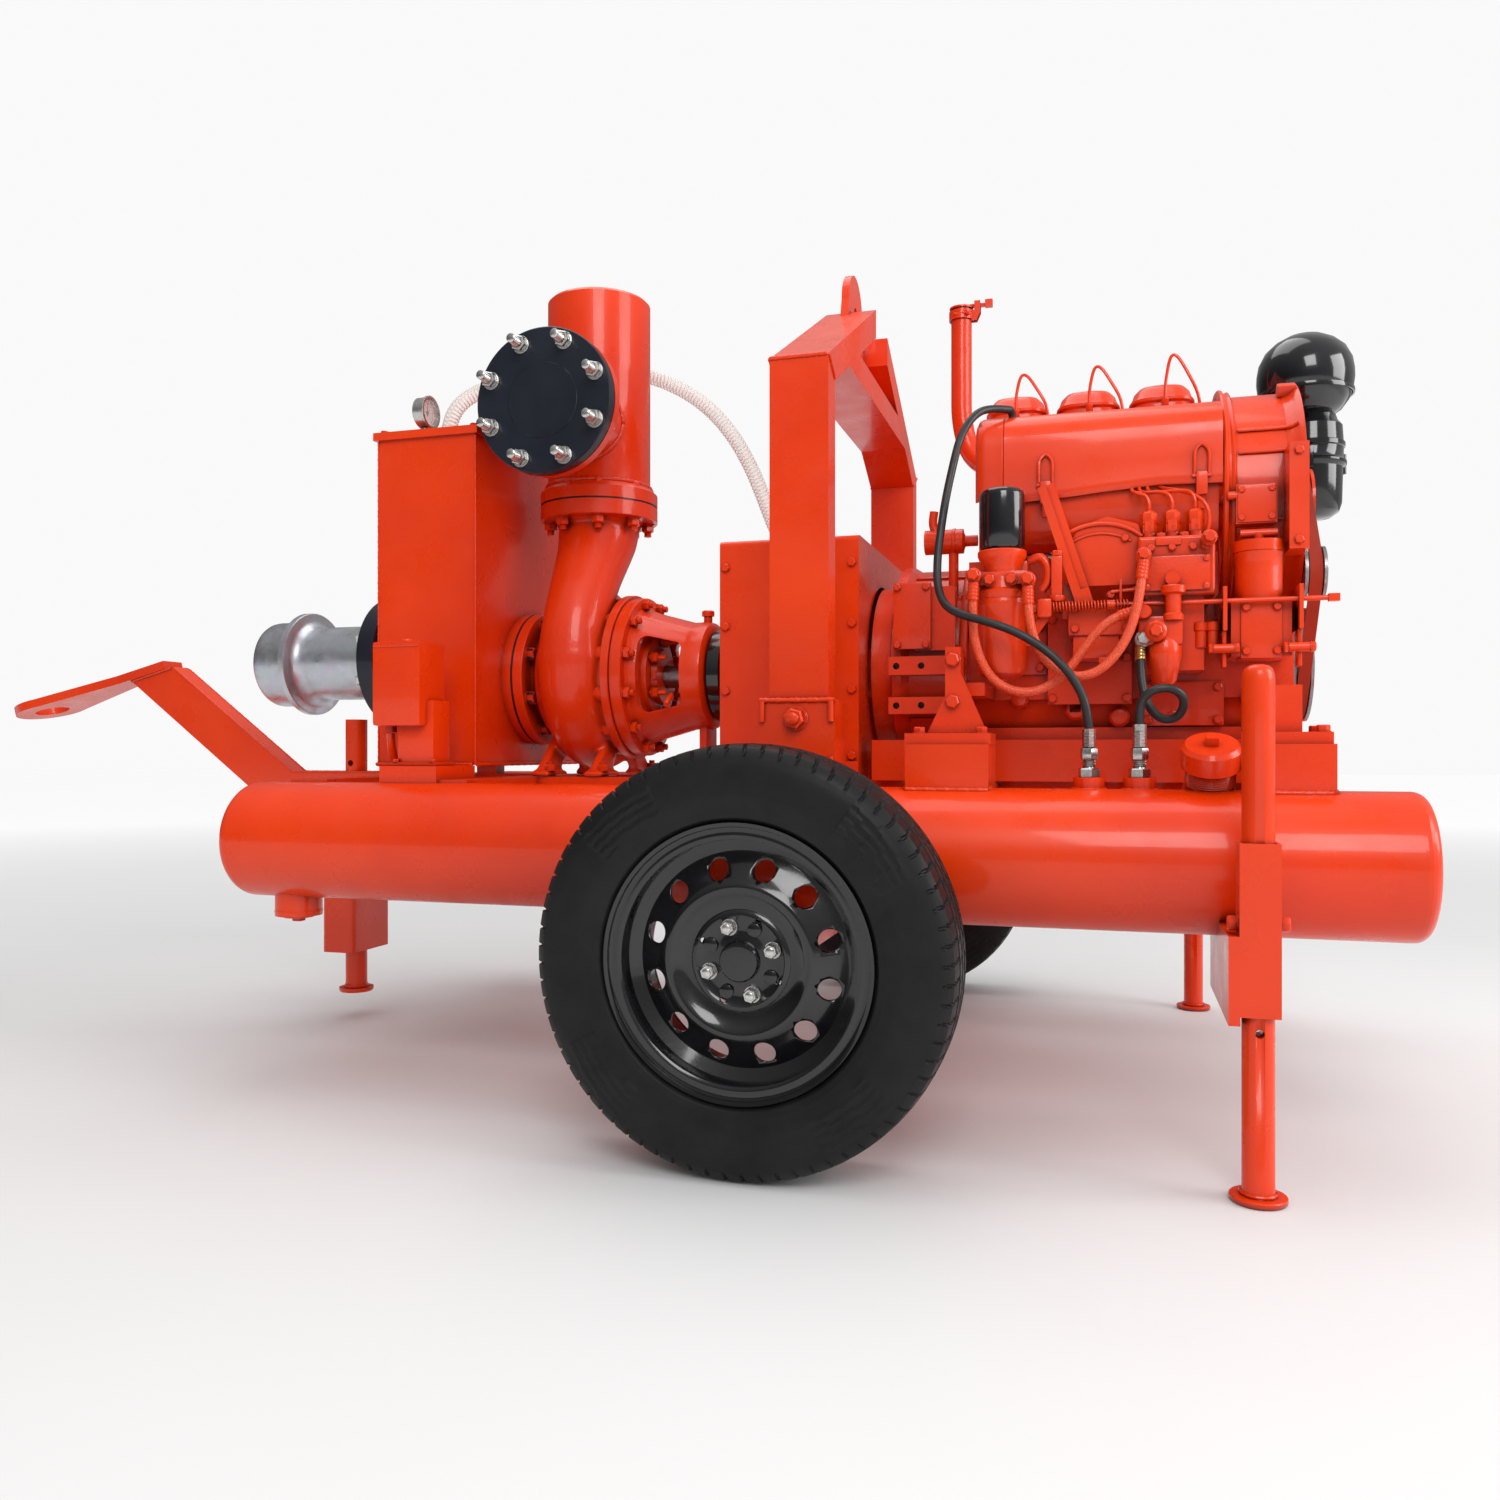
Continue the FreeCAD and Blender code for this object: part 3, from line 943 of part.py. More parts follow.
# ---------------------------------------------------------------- hoses
def build_hoses():
    node("vacuum_hose", bent_tube([("-860", "-100", "1281.5"), ("-858", "-96", "1325"),
                                   ("-835", "-70", "1375"),
                                   ("-790", "-15", "1415"), ("-735", "50", "1445"), ("-670", "105", "1465"),
                                   ("-600", "145", "1476"), ("-530", "165", "1472"), ("-460", "172", "1448"),
                                   ("-395", "172", "1410"), ("-340", "170", "1362"), ("-295", "168", "1305"),
                                   ("-258", "165", "1240"), ("-228", "160", "1170"), ("-202", "152", "1105"),
                                   ("-174", "140", "1056"), ("-152", "131", "1012")], "17"))
    node("return_hose", bent_tube([("335", "-215", "1212"), ("300", "-245", "1211"), ("275", "-272", "1190"),
                                   ("256", "-292", "1150"), ("246", "-305", "1100"), ("236", "-318", "1045"),
                                   ("229", "-330", "990"), ("224", "-342", "935"), ("226", "-358", "885"),
                                   ("240", "-374", "850"), ("270", "-388", "832"), ("310", "-396", "820"),
                                   ("352", "-400", "804"), ("392", "-402", "781"), ("426", "-404", "752"),
                                   ("452", "-404", "718"), ("468", "-405", "682"), ("472", "-405", "644.5")],
                                  "hose_radius"))
    node("feed_hose", bent_tube([("548", "-405", "651"), ("548", "-406", "672"), ("552", "-410", "690"),
                                 ("568", "-414", "704"), ("592", "-412", "707"), ("612", "-404", "696"),
                                 ("615", "-392", "676"), ("602", "-382", "658"), ("580", "-374", "658"),
                                 ("562", "-366", "680"), ("553", "-356", "712"), ("551", "-344", "748"),
                                 ("552", "-330", "782")], "hose_radius"))
    front = bent_tube([("287", "-364", "888"), ("286", "-366", "850"), ("287", "-369", "806"),
                       ("297", "-370", "762"), ("318", "-371", "726"), ("350", "-371", "706"),
                       ("386", "-370", "704"), ("418", "-360", "720"), ("444", "-353", "746"),
                       ("466", "-352", "780"), ("492", "-354", "811"), ("520", "-350", "829"),
                       ("546", "-344", "834")], "hose_radius + 0.5")
    rear = bent_tube([("375", "-364", "878"), ("376", "-372", "840"), ("382", "-374", "800"),
                      ("398", "-376", "762"), ("424", "-377", "736"), ("454", "-377", "727"),
                      ("484", "-377", "734"), ("511", "-375", "758"), ("532", "-373", "793"),
                      ("545", "-369", "834"), ("552", "-362", "880"), ("556", "-352", "913")],
                     "hose_radius + 0.5")
    node("fuel_hoses", front, rear)


build_side_pipes()
build_ladder()
build_drawbar()
build_jacks()
build_wheels()
build_suction()
build_tank()
build_gauge()
build_pump()
build_discharge()
build_fasteners()
build_junction_box()
build_guard()
build_lifting_frame()
build_engine_block()
build_cowl()
build_cooling()
build_flywheel()
build_mounts()
build_fuel_system()
build_controls()
build_exhaust()
build_air_cleaner()
build_hoses()
doc.recompute()

faults = [obj.Label for obj in doc.Objects if "Invalid" in obj.State or "Error" in obj.State]
faults += [obj.Label for obj in NODES if obj.Shape.isNull() or not obj.Shape.isValid()]
if faults:
    raise SystemExit("these pieces failed: " + ", ".join(faults))
os.makedirs("parts", exist_ok=True)
for obj in NODES:
    obj.Shape.exportStep("parts/%s.step" % obj.Label)
print("nodes written: %d" % len(NODES))
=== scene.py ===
"""Trailer fire pump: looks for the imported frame.

Lengths are in metres. at(), on_shaft(), mm(), screws() and the hose routes take millimetres.
"""
import json
import math
import bmesh
import bpy
from mathutils import Matrix, Vector


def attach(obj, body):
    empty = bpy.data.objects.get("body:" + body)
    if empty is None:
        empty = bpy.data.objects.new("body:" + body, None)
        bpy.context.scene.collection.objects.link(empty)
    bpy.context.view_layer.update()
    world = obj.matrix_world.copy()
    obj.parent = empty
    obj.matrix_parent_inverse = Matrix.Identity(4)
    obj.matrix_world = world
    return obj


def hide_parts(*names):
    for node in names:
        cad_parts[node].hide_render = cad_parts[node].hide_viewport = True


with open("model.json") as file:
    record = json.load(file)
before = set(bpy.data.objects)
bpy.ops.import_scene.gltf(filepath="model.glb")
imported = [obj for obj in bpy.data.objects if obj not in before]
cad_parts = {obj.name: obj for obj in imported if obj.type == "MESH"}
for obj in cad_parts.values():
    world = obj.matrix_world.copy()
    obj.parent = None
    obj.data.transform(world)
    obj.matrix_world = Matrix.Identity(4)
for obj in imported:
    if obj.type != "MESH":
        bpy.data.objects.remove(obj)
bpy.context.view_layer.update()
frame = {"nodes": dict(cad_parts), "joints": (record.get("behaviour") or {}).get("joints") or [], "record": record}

NODES = frame["nodes"]
X, Y, Z = Vector((1, 0, 0)), Vector((0, 1, 0)), Vector((0, 0, 1))
MM = 0.001


def joint_place(name):
    """Point on a joint's axis."""
    return Vector(next(j for j in frame["joints"] if j["name"] == name)["pos_m"])


# ---------------------------------------------------------------- materials
class Graph:
    """Small wrapper that adds and links shader nodes."""

    def __init__(self, name):
        self.material = bpy.data.materials.new(name)
        self.material.use_nodes = True
        self.tree = self.material.node_tree
        self.shader = self.tree.nodes["Principled BSDF"]
        self.place = self.add("TexCoord").outputs["Object"]

    def add(self, kind, **inputs):
        made = self.tree.nodes.new("ShaderNode" + kind)
        for name, given in inputs.items():
            self.feed(made.inputs[name.replace("_", " ")], given)
        return made

    def feed(self, socket, given):
        if isinstance(given, bpy.types.NodeSocket):
            self.tree.links.new(given, socket)
        else:
            socket.default_value = given

    def noise(self, scale, detail=4.0, roughness=0.55):
        return self.add("TexNoise", Vector=self.place, Scale=scale, Detail=detail,
                        Roughness=roughness).outputs["Fac"]

    def spread(self, factor, low, high, start=0.3, end=0.7):
        """Map a 0 to 1 factor to a range of numbers."""
        made = self.add("MapRange", Value=factor, From_Min=start, From_Max=end, To_Min=low, To_Max=high)
        return made.outputs["Result"]

    def blend(self, factor, first, second):
        made = self.tree.nodes.new("ShaderNodeMix")
        made.data_type = "RGBA"
        self.feed(made.inputs[0], factor)
        self.feed(made.inputs[6], first)
        self.feed(made.inputs[7], second)
        return made.outputs[2]

    def bump(self, height, strength, distance, before=None):
        made = self.add("Bump", Height=height, Strength=strength, Distance=distance)
        if before is not None:
            self.feed(made.inputs["Normal"], before)
        return made.outputs["Normal"]

    def corner_shade(self, reach):
        """0 in tight corners, 1 on open faces: ambient occlusion, the mask for painted shade."""
        made = self.tree.nodes.new("ShaderNodeAmbientOcclusion")
        made.samples = 6
        made.inputs["Distance"].default_value = reach
        return made.outputs["AO"]

    def finish(self, colour, roughness, normal=None, metallic=0.0, coat=0.0, coat_rough=0.05,
               specular=0.5):
        sockets = self.shader.inputs
        self.feed(sockets["Base Color"], colour)
        self.feed(sockets["Roughness"], roughness)
        sockets["Specular IOR Level"].default_value = specular
        sockets["Metallic"].default_value = metallic
        sockets["Coat Weight"].default_value = coat
        sockets["Coat Roughness"].default_value = coat_rough
        if normal is not None:
            self.feed(sockets["Normal"], normal)
        return self.material


def rgb(red, green, blue):
    return (red, green, blue, 1.0)


def enamel(name, colour, deep, grain, grain_depth, gloss=0.28, coat=0.35):
    """Brushed or sprayed enamel: slight colour drift, orange peel and painted shade in the corners."""
    g = Graph(name)
    drift = g.blend(g.spread(g.noise(3.0, 3.0), 0.0, 1.0), colour, deep)
    # Painted shade: corners and creases turn to a darker copy of the paint, from ambient occlusion.
    shaded_paint = g.blend(g.spread(g.corner_shade(0.03), 1.0, 0.0, 0.25, 0.8), drift,
                    rgb(deep[0] * 0.32, deep[1] * 0.3, deep[2] * 0.5))
    rough = g.spread(g.noise(14.0, 5.0), gloss - 0.06, gloss + 0.14)
    waves = g.bump(g.noise(55.0, 2.0), 0.12, 0.0012)
    peel = g.bump(g.noise(grain, 3.0, 0.6), 0.35, grain_depth, waves)
    return g.finish(shaded_paint, rough, peel, coat=coat, coat_rough=0.08, specular=0.3)


def metal(name, colour, dark, rough, grain=260.0, metallic=1.0):
    """Brushed metal with painted shade in its corners."""
    g = Graph(name)
    tone = g.blend(g.spread(g.noise(grain, 5.0, 0.7), 0.0, 1.0), colour, dark)
    # Painted shade: dark brown in corners, from ambient occlusion.
    stain_and_shade = g.blend(g.spread(g.corner_shade(0.01), 0.6, 0.0, 0.2, 0.8), tone, rgb(0.08, 0.07, 0.06))
    scratch = g.bump(g.noise(grain * 2.0, 2.0), 0.15, 0.0003)
    return g.finish(stain_and_shade, g.spread(g.noise(30.0, 5.0), rough - 0.08, rough + 0.14), scratch,
                    metallic=metallic)


def galvanised():
    """Zinc crystals over a satin metal, browner where it has stained."""
    g = Graph("galvanised_zinc")
    cells = g.add("TexVoronoi", Vector=g.place, Scale=70.0).outputs["Color"]
    spangle = g.blend(0.05, rgb(0.56, 0.58, 0.63), cells)
    stain_and_shade = g.blend(g.spread(g.noise(7.0, 6.0, 0.65), 0.0, 0.7, 0.5, 0.72), spangle, rgb(0.26, 0.2, 0.16))
    return g.finish(stain_and_shade, g.spread(g.noise(40.0), 0.24, 0.46), g.bump(g.noise(120.0), 0.2, 0.0006),
                    metallic=0.9)


def tyre_rubber():
    """Dull black rubber, dusty in patches."""
    g = Graph("tyre_rubber")
    dusty = g.blend(g.spread(g.noise(9.0, 6.0, 0.7), 0.0, 0.6), rgb(0.004, 0.004, 0.0045),
                    rgb(0.014, 0.0138, 0.0134))
    return g.finish(dusty, g.spread(g.noise(25.0), 0.40, 0.58), g.bump(g.noise(900.0, 2.0), 0.25, 0.0004),
                    specular=0.26)


def hose_rubber():
    """Smooth black rubber."""
    g = Graph("hose_rubber")
    tone = g.blend(g.noise(40.0), rgb(0.01, 0.01, 0.011), rgb(0.025, 0.025, 0.027))
    return g.finish(tone, g.spread(g.noise(60.0), 0.34, 0.5), g.bump(g.noise(700.0), 0.2, 0.0004))


def braid():
    """Cotton braid under a coat of enamel."""
    g = Graph("braided_hose")
    weave = g.add("TexVoronoi", Vector=g.place, Scale=520.0).outputs["Distance"]
    tone = g.blend(g.spread(weave, 0.0, 1.0, 0.1, 0.6), rgb(0.42, 0.03, 0.006), rgb(0.86, 0.085, 0.02))
    return g.finish(tone, 0.5, g.bump(weave, 0.8, 0.0012), coat=0.2)


def clear_plastic():
    """Milky see-through hose wall."""
    g = Graph("clear_hose")
    milky = g.blend(g.noise(30.0), rgb(0.93, 0.91, 0.86), rgb(0.8, 0.76, 0.7))
    made = g.finish(milky, 0.14, g.bump(g.noise(90.0), 0.2, 0.001))
    g.shader.inputs["Alpha"].default_value = 0.34
    g.shader.inputs["IOR"].default_value = 1.45
    return made


def glass():
    """Clear cover of the gauge."""
    g = Graph("gauge_glass")
    made = g.finish(g.blend(g.noise(80.0), rgb(0.96, 0.97, 0.97), rgb(0.9, 0.92, 0.92)), 0.04)
    g.shader.inputs["Alpha"].default_value = 0.16
    return made


def plain_face(name, colour):
    """Flat printed or painted face."""
    g = Graph(name)
    return g.finish(g.blend(g.noise(200.0), colour, rgb(*[c * 0.86 for c in colour[:3]])), 0.5,
                    g.bump(g.noise(400.0), 0.1, 0.0002))


ORANGE, DEEP_ORANGE = rgb(0.80, 0.046, 0.0006), rgb(0.66, 0.030, 0.0006)
# The first eleven are the record's material slots; the rest are finishes within them.
LOOKS = {
    "orange_enamel": enamel("orange_enamel", ORANGE, DEEP_ORANGE, 420.0, 0.0004),
    "cast_orange": enamel("cast_orange", ORANGE, DEEP_ORANGE, 240.0, 0.0014, gloss=0.32),
    "black_enamel": enamel("black_enamel", rgb(0.012, 0.016, 0.03), rgb(0.006, 0.008, 0.016), 350.0, 0.0004,
                           gloss=0.4, coat=0.25),
    "gloss_black_enamel": enamel("gloss_black_enamel", rgb(0.008, 0.008, 0.01), rgb(0.004, 0.004, 0.005),
                                 300.0, 0.0002, gloss=0.12, coat=1.0),
    "tyre_rubber": tyre_rubber(),
    "black_rubber": hose_rubber(),
    "red_rubber": braid(),
    "clear_hose": clear_plastic(),
    "galvanised_steel": galvanised(),
    "zinc_plate": metal("zinc_plate", rgb(0.74, 0.74, 0.72), rgb(0.5, 0.49, 0.46), 0.26),
    "bare_steel": metal("bare_steel", rgb(0.42, 0.42, 0.43), rgb(0.25, 0.24, 0.24), 0.36),
    "wheel_black": enamel("wheel_black", rgb(0.006, 0.006, 0.007), rgb(0.003, 0.003, 0.004), 300.0, 0.0003,
                          gloss=0.2, coat=0.9),
    "brass": metal("brass", rgb(0.7, 0.5, 0.2), rgb(0.45, 0.3, 0.12), 0.3),
    "gauge_glass": glass(),
    "dial_white": plain_face("dial_white", rgb(0.85, 0.84, 0.8)),
    "painted_belt": enamel("painted_belt", rgb(0.42, 0.03, 0.006), rgb(0.16, 0.014, 0.006), 160.0, 0.0012,
                           gloss=0.6, coat=0.0),
    "dial_ink": plain_face("dial_ink", rgb(0.02, 0.02, 0.02)),
}


# ---------------------------------------------------------------- making pieces
class Builder:
    """Collects simple shapes into one mesh piece."""

    def __init__(self):
        self.mesh = bmesh.new()

    def add(self, corners, faces):
        """Take in corners and the faces between them, given as corner numbers."""
        made = [self.mesh.verts.new(c) for c in corners]
        for face in faces:
            self.mesh.faces.new([made[i] for i in face])
        return self

    def ring_faces(self, rows, segments, closed_ends=True, joined=False):
        """Faces between rows of corners that each run once round."""
        faces = []
        pairs = rows if joined else rows - 1
        for row in range(pairs):
            following = (row + 1) % rows
            for i in range(segments):
                j = (i + 1) % segments
                faces.append((row * segments + i, row * segments + j,
                              following * segments + j, following * segments + i))
        if closed_ends and not joined:
            faces.append(tuple(reversed(range(segments))))
            faces.append(tuple((rows - 1) * segments + i for i in range(segments)))
        return faces

    def lathe(self, profile, origin, axis, segments=48, joined=False, start=0.0):
        """Revolve (distance along the axis, radius) points; joined closes the section on itself."""
        axis = Vector(axis).normalized()
        side = axis.orthogonal().normalized()
        other = axis.cross(side)
        corners = []
        for along, radius in profile:
            for i in range(segments):
                angle = start + 2 * math.pi * i / segments
                ray = side * math.cos(angle) + other * math.sin(angle)
                corners.append(Vector(origin) + axis * along + ray * max(radius, 1e-5))
        return self.add(corners, self.ring_faces(len(profile), segments, True, joined))

    def disc(self, origin, axis, radius, height, edge=0.0008, segments=48):
        """Flat cylinder with its edges broken."""
        return self.lathe([(0, radius - edge), (edge, radius), (height - edge, radius),
                           (height, radius - edge)],
                          origin, axis, segments)

    def bolt(self, origin, axis, across, height=None, washer=True, stud=0.0):
        """Hexagon head or nut on a face, with its washer and any stud end beyond it."""
        axis, point = Vector(axis).normalized(), Vector(origin)
        height = height or across * 0.62
        base = 0.0
        if washer:
            base = across * 0.09
            self.disc(point, axis, across * 0.64, base, 0.0003, 28)
        r = across / math.sqrt(3)
        self.lathe([(base, r * 0.97), (base + height * 0.08, r), (base + height * 0.84, r),
                    (base + height, r * 0.84)], point, axis, 6)
        if stud:
            s = across * 0.33
            rows = [(base + height * 0.9, s)]
            pitch, turn = across * 0.09, base + height
            while turn < base + height + stud - pitch:
                rows += [(turn, s * 0.9), (turn + pitch * 0.5, s)]
                turn += pitch
            rows += [(base + height + stud - pitch * 0.5, s), (base + height + stud, s * 0.8)]
            self.lathe(rows, point, axis, 20)
        return self

    def block(self, low, high, edge=0.002, turn=None, about=None):
        """Box with softened edges, turned about a point if asked."""
        low, high = Vector(low), Vector(high)
        made = bmesh.ops.create_cube(self.mesh, size=1.0)["verts"]
        size, middle = high - low, (high + low) / 2
        bmesh.ops.transform(self.mesh, verts=made,
                            matrix=Matrix.Translation(middle) @ Matrix.Diagonal((*size, 1.0)))
        if edge:
            edges = list({e for v in made for e in v.link_edges})
            out = bmesh.ops.bevel(self.mesh, geom=edges, offset=min(edge, min(size) * 0.45), segments=2,
                                  affect="EDGES", profile=0.7)
            made = list({v for f in out["faces"] for v in f.verts} | {v for v in made if v.is_valid})
        if turn is not None:
            centre = Vector(about if about is not None else middle)
            about_centre = Matrix.Translation(centre) @ turn.to_4x4() @ Matrix.Translation(-centre)
            bmesh.ops.transform(self.mesh, verts=made, matrix=about_centre)
        return self

    def tube(self, points, radius, segments=14, steps=8):
        """Round tube along a smooth line through the points."""
        return self.sweep(smooth_line(points, steps), radius, segments)

    def sweep(self, line, radius, segments=20):
        """Round tube along a line; radius is a number, or gives one for each point's number."""
        corners = []
        for i, (point, side, other) in enumerate(carried(line)):
            r = radius(i) if callable(radius) else radius
            for k in range(segments):
                angle = 2 * math.pi * k / segments
                corners.append(point + (side * math.cos(angle) + other * math.sin(angle)) * r)
        return self.add(corners, self.ring_faces(len(line), segments))

    def plate(self, outline, origin, across, up, thick, edge=0.001):
        """Flat outline given as (across, up) points, thickened along the third direction."""
        across, up = Vector(across), Vector(up)
        out = across.cross(up).normalized()
        count = len(outline)
        corners = [Vector(origin) + across * a + up * b for a, b in outline]
        corners += [c + out * thick for c in corners]
        faces = [tuple(reversed(range(count))), tuple(range(count, 2 * count))]
        faces += [(i, (i + 1) % count, (i + 1) % count + count, i + count) for i in range(count)]
        first = len(self.mesh.verts)
        self.add(corners, faces)
        if edge:
            self.mesh.verts.ensure_lookup_table()
            made = self.mesh.verts[first:]
            edges = list({e for v in made for e in v.link_edges})
            bmesh.ops.bevel(self.mesh, geom=edges, offset=edge, segments=1, affect="EDGES")
        return self

    def finish(self, name, look, body="root", slot=None, replaces=(), sharp=35.0):
        """Make the piece, on its body, with its look; slot is not used."""
        bmesh.ops.recalc_face_normals(self.mesh, faces=self.mesh.faces)
        data = bpy.data.meshes.new(name)
        self.mesh.to_mesh(data)
        self.mesh.free()
        for polygon in data.polygons:
            polygon.use_smooth = True
        data.set_sharp_from_angle(angle=math.radians(sharp))
        piece = bpy.data.objects.new(name, data)
        bpy.context.scene.collection.objects.link(piece)
        data.materials.append(LOOKS[look])
        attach(piece, body)
        if replaces:
            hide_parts(*replaces)
        return piece


def carried(line):
    """Each point of the line with two directions square to it that don't twist round it."""
    side = (line[1] - line[0]).orthogonal().normalized()
    last = len(line) - 1
    for i, point in enumerate(line):
        ahead = (line[min(i + 1, last)] - line[max(i - 1, 0)]).normalized()
        side = (side - ahead * side.dot(ahead)).normalized()
        yield point, side, ahead.cross(side)


def smooth_line(points, steps=8):
    """Catmull-Rom line through the points."""
    points = [Vector(p) for p in points]
    if len(points) == 2:
        return points
    ends = [points[0] * 2 - points[1]] + points + [points[-1] * 2 - points[-2]]
    line = []
    for a, b, c, d in zip(ends, ends[1:], ends[2:], ends[3:]):
        for i in range(steps):
            t = i / steps
            line.append(0.5 * (b * 2 + (c - a) * t + (a * 2 - b * 5 + c * 4 - d) * t * t
                               + (b * 3 - a - c * 3 + d) * t ** 3))
    line.append(points[-1])
    return line


def circle_points(count, radius, start=0.0):
    """Equally spaced points on a circle, from start degrees on."""
    for i in range(count):
        angle = math.radians(start) + 2 * math.pi * i / count
        yield radius * math.cos(angle), radius * math.sin(angle)


# ---------------------------------------------------------------- CAD nodes that stay
PLAIN_EDGE = 0.0015
EDGE_WIDTH = {"lifting_frame": 0.007, "drawbar": 0.006, "priming_tank": 0.004, "coupling_guard": 0.004,
              "jack_sockets": 0.004, "tow_eye": 0.003, "chassis_members": 0.003, "crankcase": 0.006,
              "flywheel_housing": 0.003, "junction_box": 0.003, "engine_mounts": 0.003}


def dress_cad_nodes():
    """Give each CAD node its slot's look and soft edges."""
    slots = {row["node"]: row["material_slot"] for row in frame["record"]["subparts"]}
    for name, node in NODES.items():
        look = LOOKS["cast_orange" if name == "flywheel" else slots[name]]  # painted over in the photo
        node.data.materials.clear()
        node.data.materials.append(look)
        edge = node.modifiers.new("soft_edges", "BEVEL")
        edge.width = EDGE_WIDTH.get(name, PLAIN_EDGE)
        edge.segments = 2
        edge.limit_method = "ANGLE"
        edge.angle_limit = math.radians(50)
        normals = node.modifiers.new("even_normals", "WEIGHTED_NORMAL")
        normals.keep_sharp = True


# ---------------------------------------------------------------- wheels
TREAD_HALF, TYRE_STEPS = 0.060, 900
CROWN_RADIUS, CROWN_DROP = 0.3099, 0.0042
GROOVES, GROOVE_HALF, GROOVE_DEPTH = (-0.034, -0.0115, 0.0115, 0.034), 0.0040, 0.0068
SIPE_PITCH = math.radians(5.0)
TREAD_START, WALL_START = 0.2925, 0.208


def tyre_section():
    """Outer line of the tyre, from one bead to the other, as (offset, radius)."""
    wall = [(0.0600, 0.1790), (0.0610, 0.1960), (0.0655, 0.2010), (0.0720, 0.2045), (0.0740, 0.2075),
            (0.0770, 0.2180), (0.0806, 0.2340), (0.0812, 0.2480), (0.0806, 0.2650), (0.0785, 0.2810),
            (0.0735, 0.2940), (0.0670, 0.3020), (0.0625, 0.3055)]
    crown = []
    steps = 56
    for i in range(steps + 1):
        u = TREAD_HALF - 2 * TREAD_HALF * i / steps
        crown.append((u, CROWN_RADIUS - CROWN_DROP * (abs(u) / TREAD_HALF) ** 3))
    curve = [tuple(p) for p in smooth_line([(u, r, 0) for u, r in wall], 4)]
    outer = [(u, r) for u, r, _ in curve]
    return outer + crown + [(-u, r) for u, r in reversed(outer)]


def tread_drop(u, angle):
    """Depth of grooves and sipes at an offset and an angle."""
    drop = 0.0
    if any(abs(u - groove) < GROOVE_HALF for groove in GROOVES):
        drop = GROOVE_DEPTH
    turns = angle / SIPE_PITCH
    if 0.0385 < abs(u) < 0.0752:
        if (turns + abs(u) * 9.0) % 1.0 < 0.16:
            drop = max(drop, 0.0045)
    elif abs(u) < 0.0075 and (turns + u * 30.0) % 1.0 < 0.12:
        drop = max(drop, 0.003)
    elif 0.0155 < abs(u) < 0.030 and (turns + abs(u) * 22.0) % 1.0 < 0.14:
        drop = max(drop, 0.0035)
    return drop


def wall_rise(r, angle):
    """Height of the raised bands and hatching on the sidewall."""
    rise = 0.0
    if 0.2125 < r < 0.2150 or 0.2905 < r < 0.2925:
        rise = 0.0005
    sector = (math.degrees(angle) - 27.0) % 90.0
    stripe = int((r - 0.2 - 0.0004 * sector) / 0.0065) % 2
    if 0.232 < r < 0.288 and sector < 26.0 and stripe:
        rise = 0.0012
    return rise


def build_tyre(tag, side):
    """Tyre with its grooves, sipes and raised sidewall bands."""
    centre = joint_place("wheel_%s_spin" % tag)
    section = tyre_section()
    corners = []
    for u, r in section:
        for i in range(TYRE_STEPS):
            angle = 2 * math.pi * i / TYRE_STEPS
            radius, offset = r, u
            if r > TREAD_START:
                radius -= tread_drop(u, angle)
            elif r > WALL_START:
                offset += math.copysign(wall_rise(r, angle), u)
            corners.append(centre + Vector((radius * math.cos(angle), side * offset,
                                            radius * math.sin(angle))))
    made = Builder()
    made.add(corners, made.ring_faces(len(section), TYRE_STEPS, closed_ends=False))
    made.finish("tyre_tread_" + tag, "tyre_rubber", "wheel_" + tag, replaces=["tyre_" + tag], sharp=28)


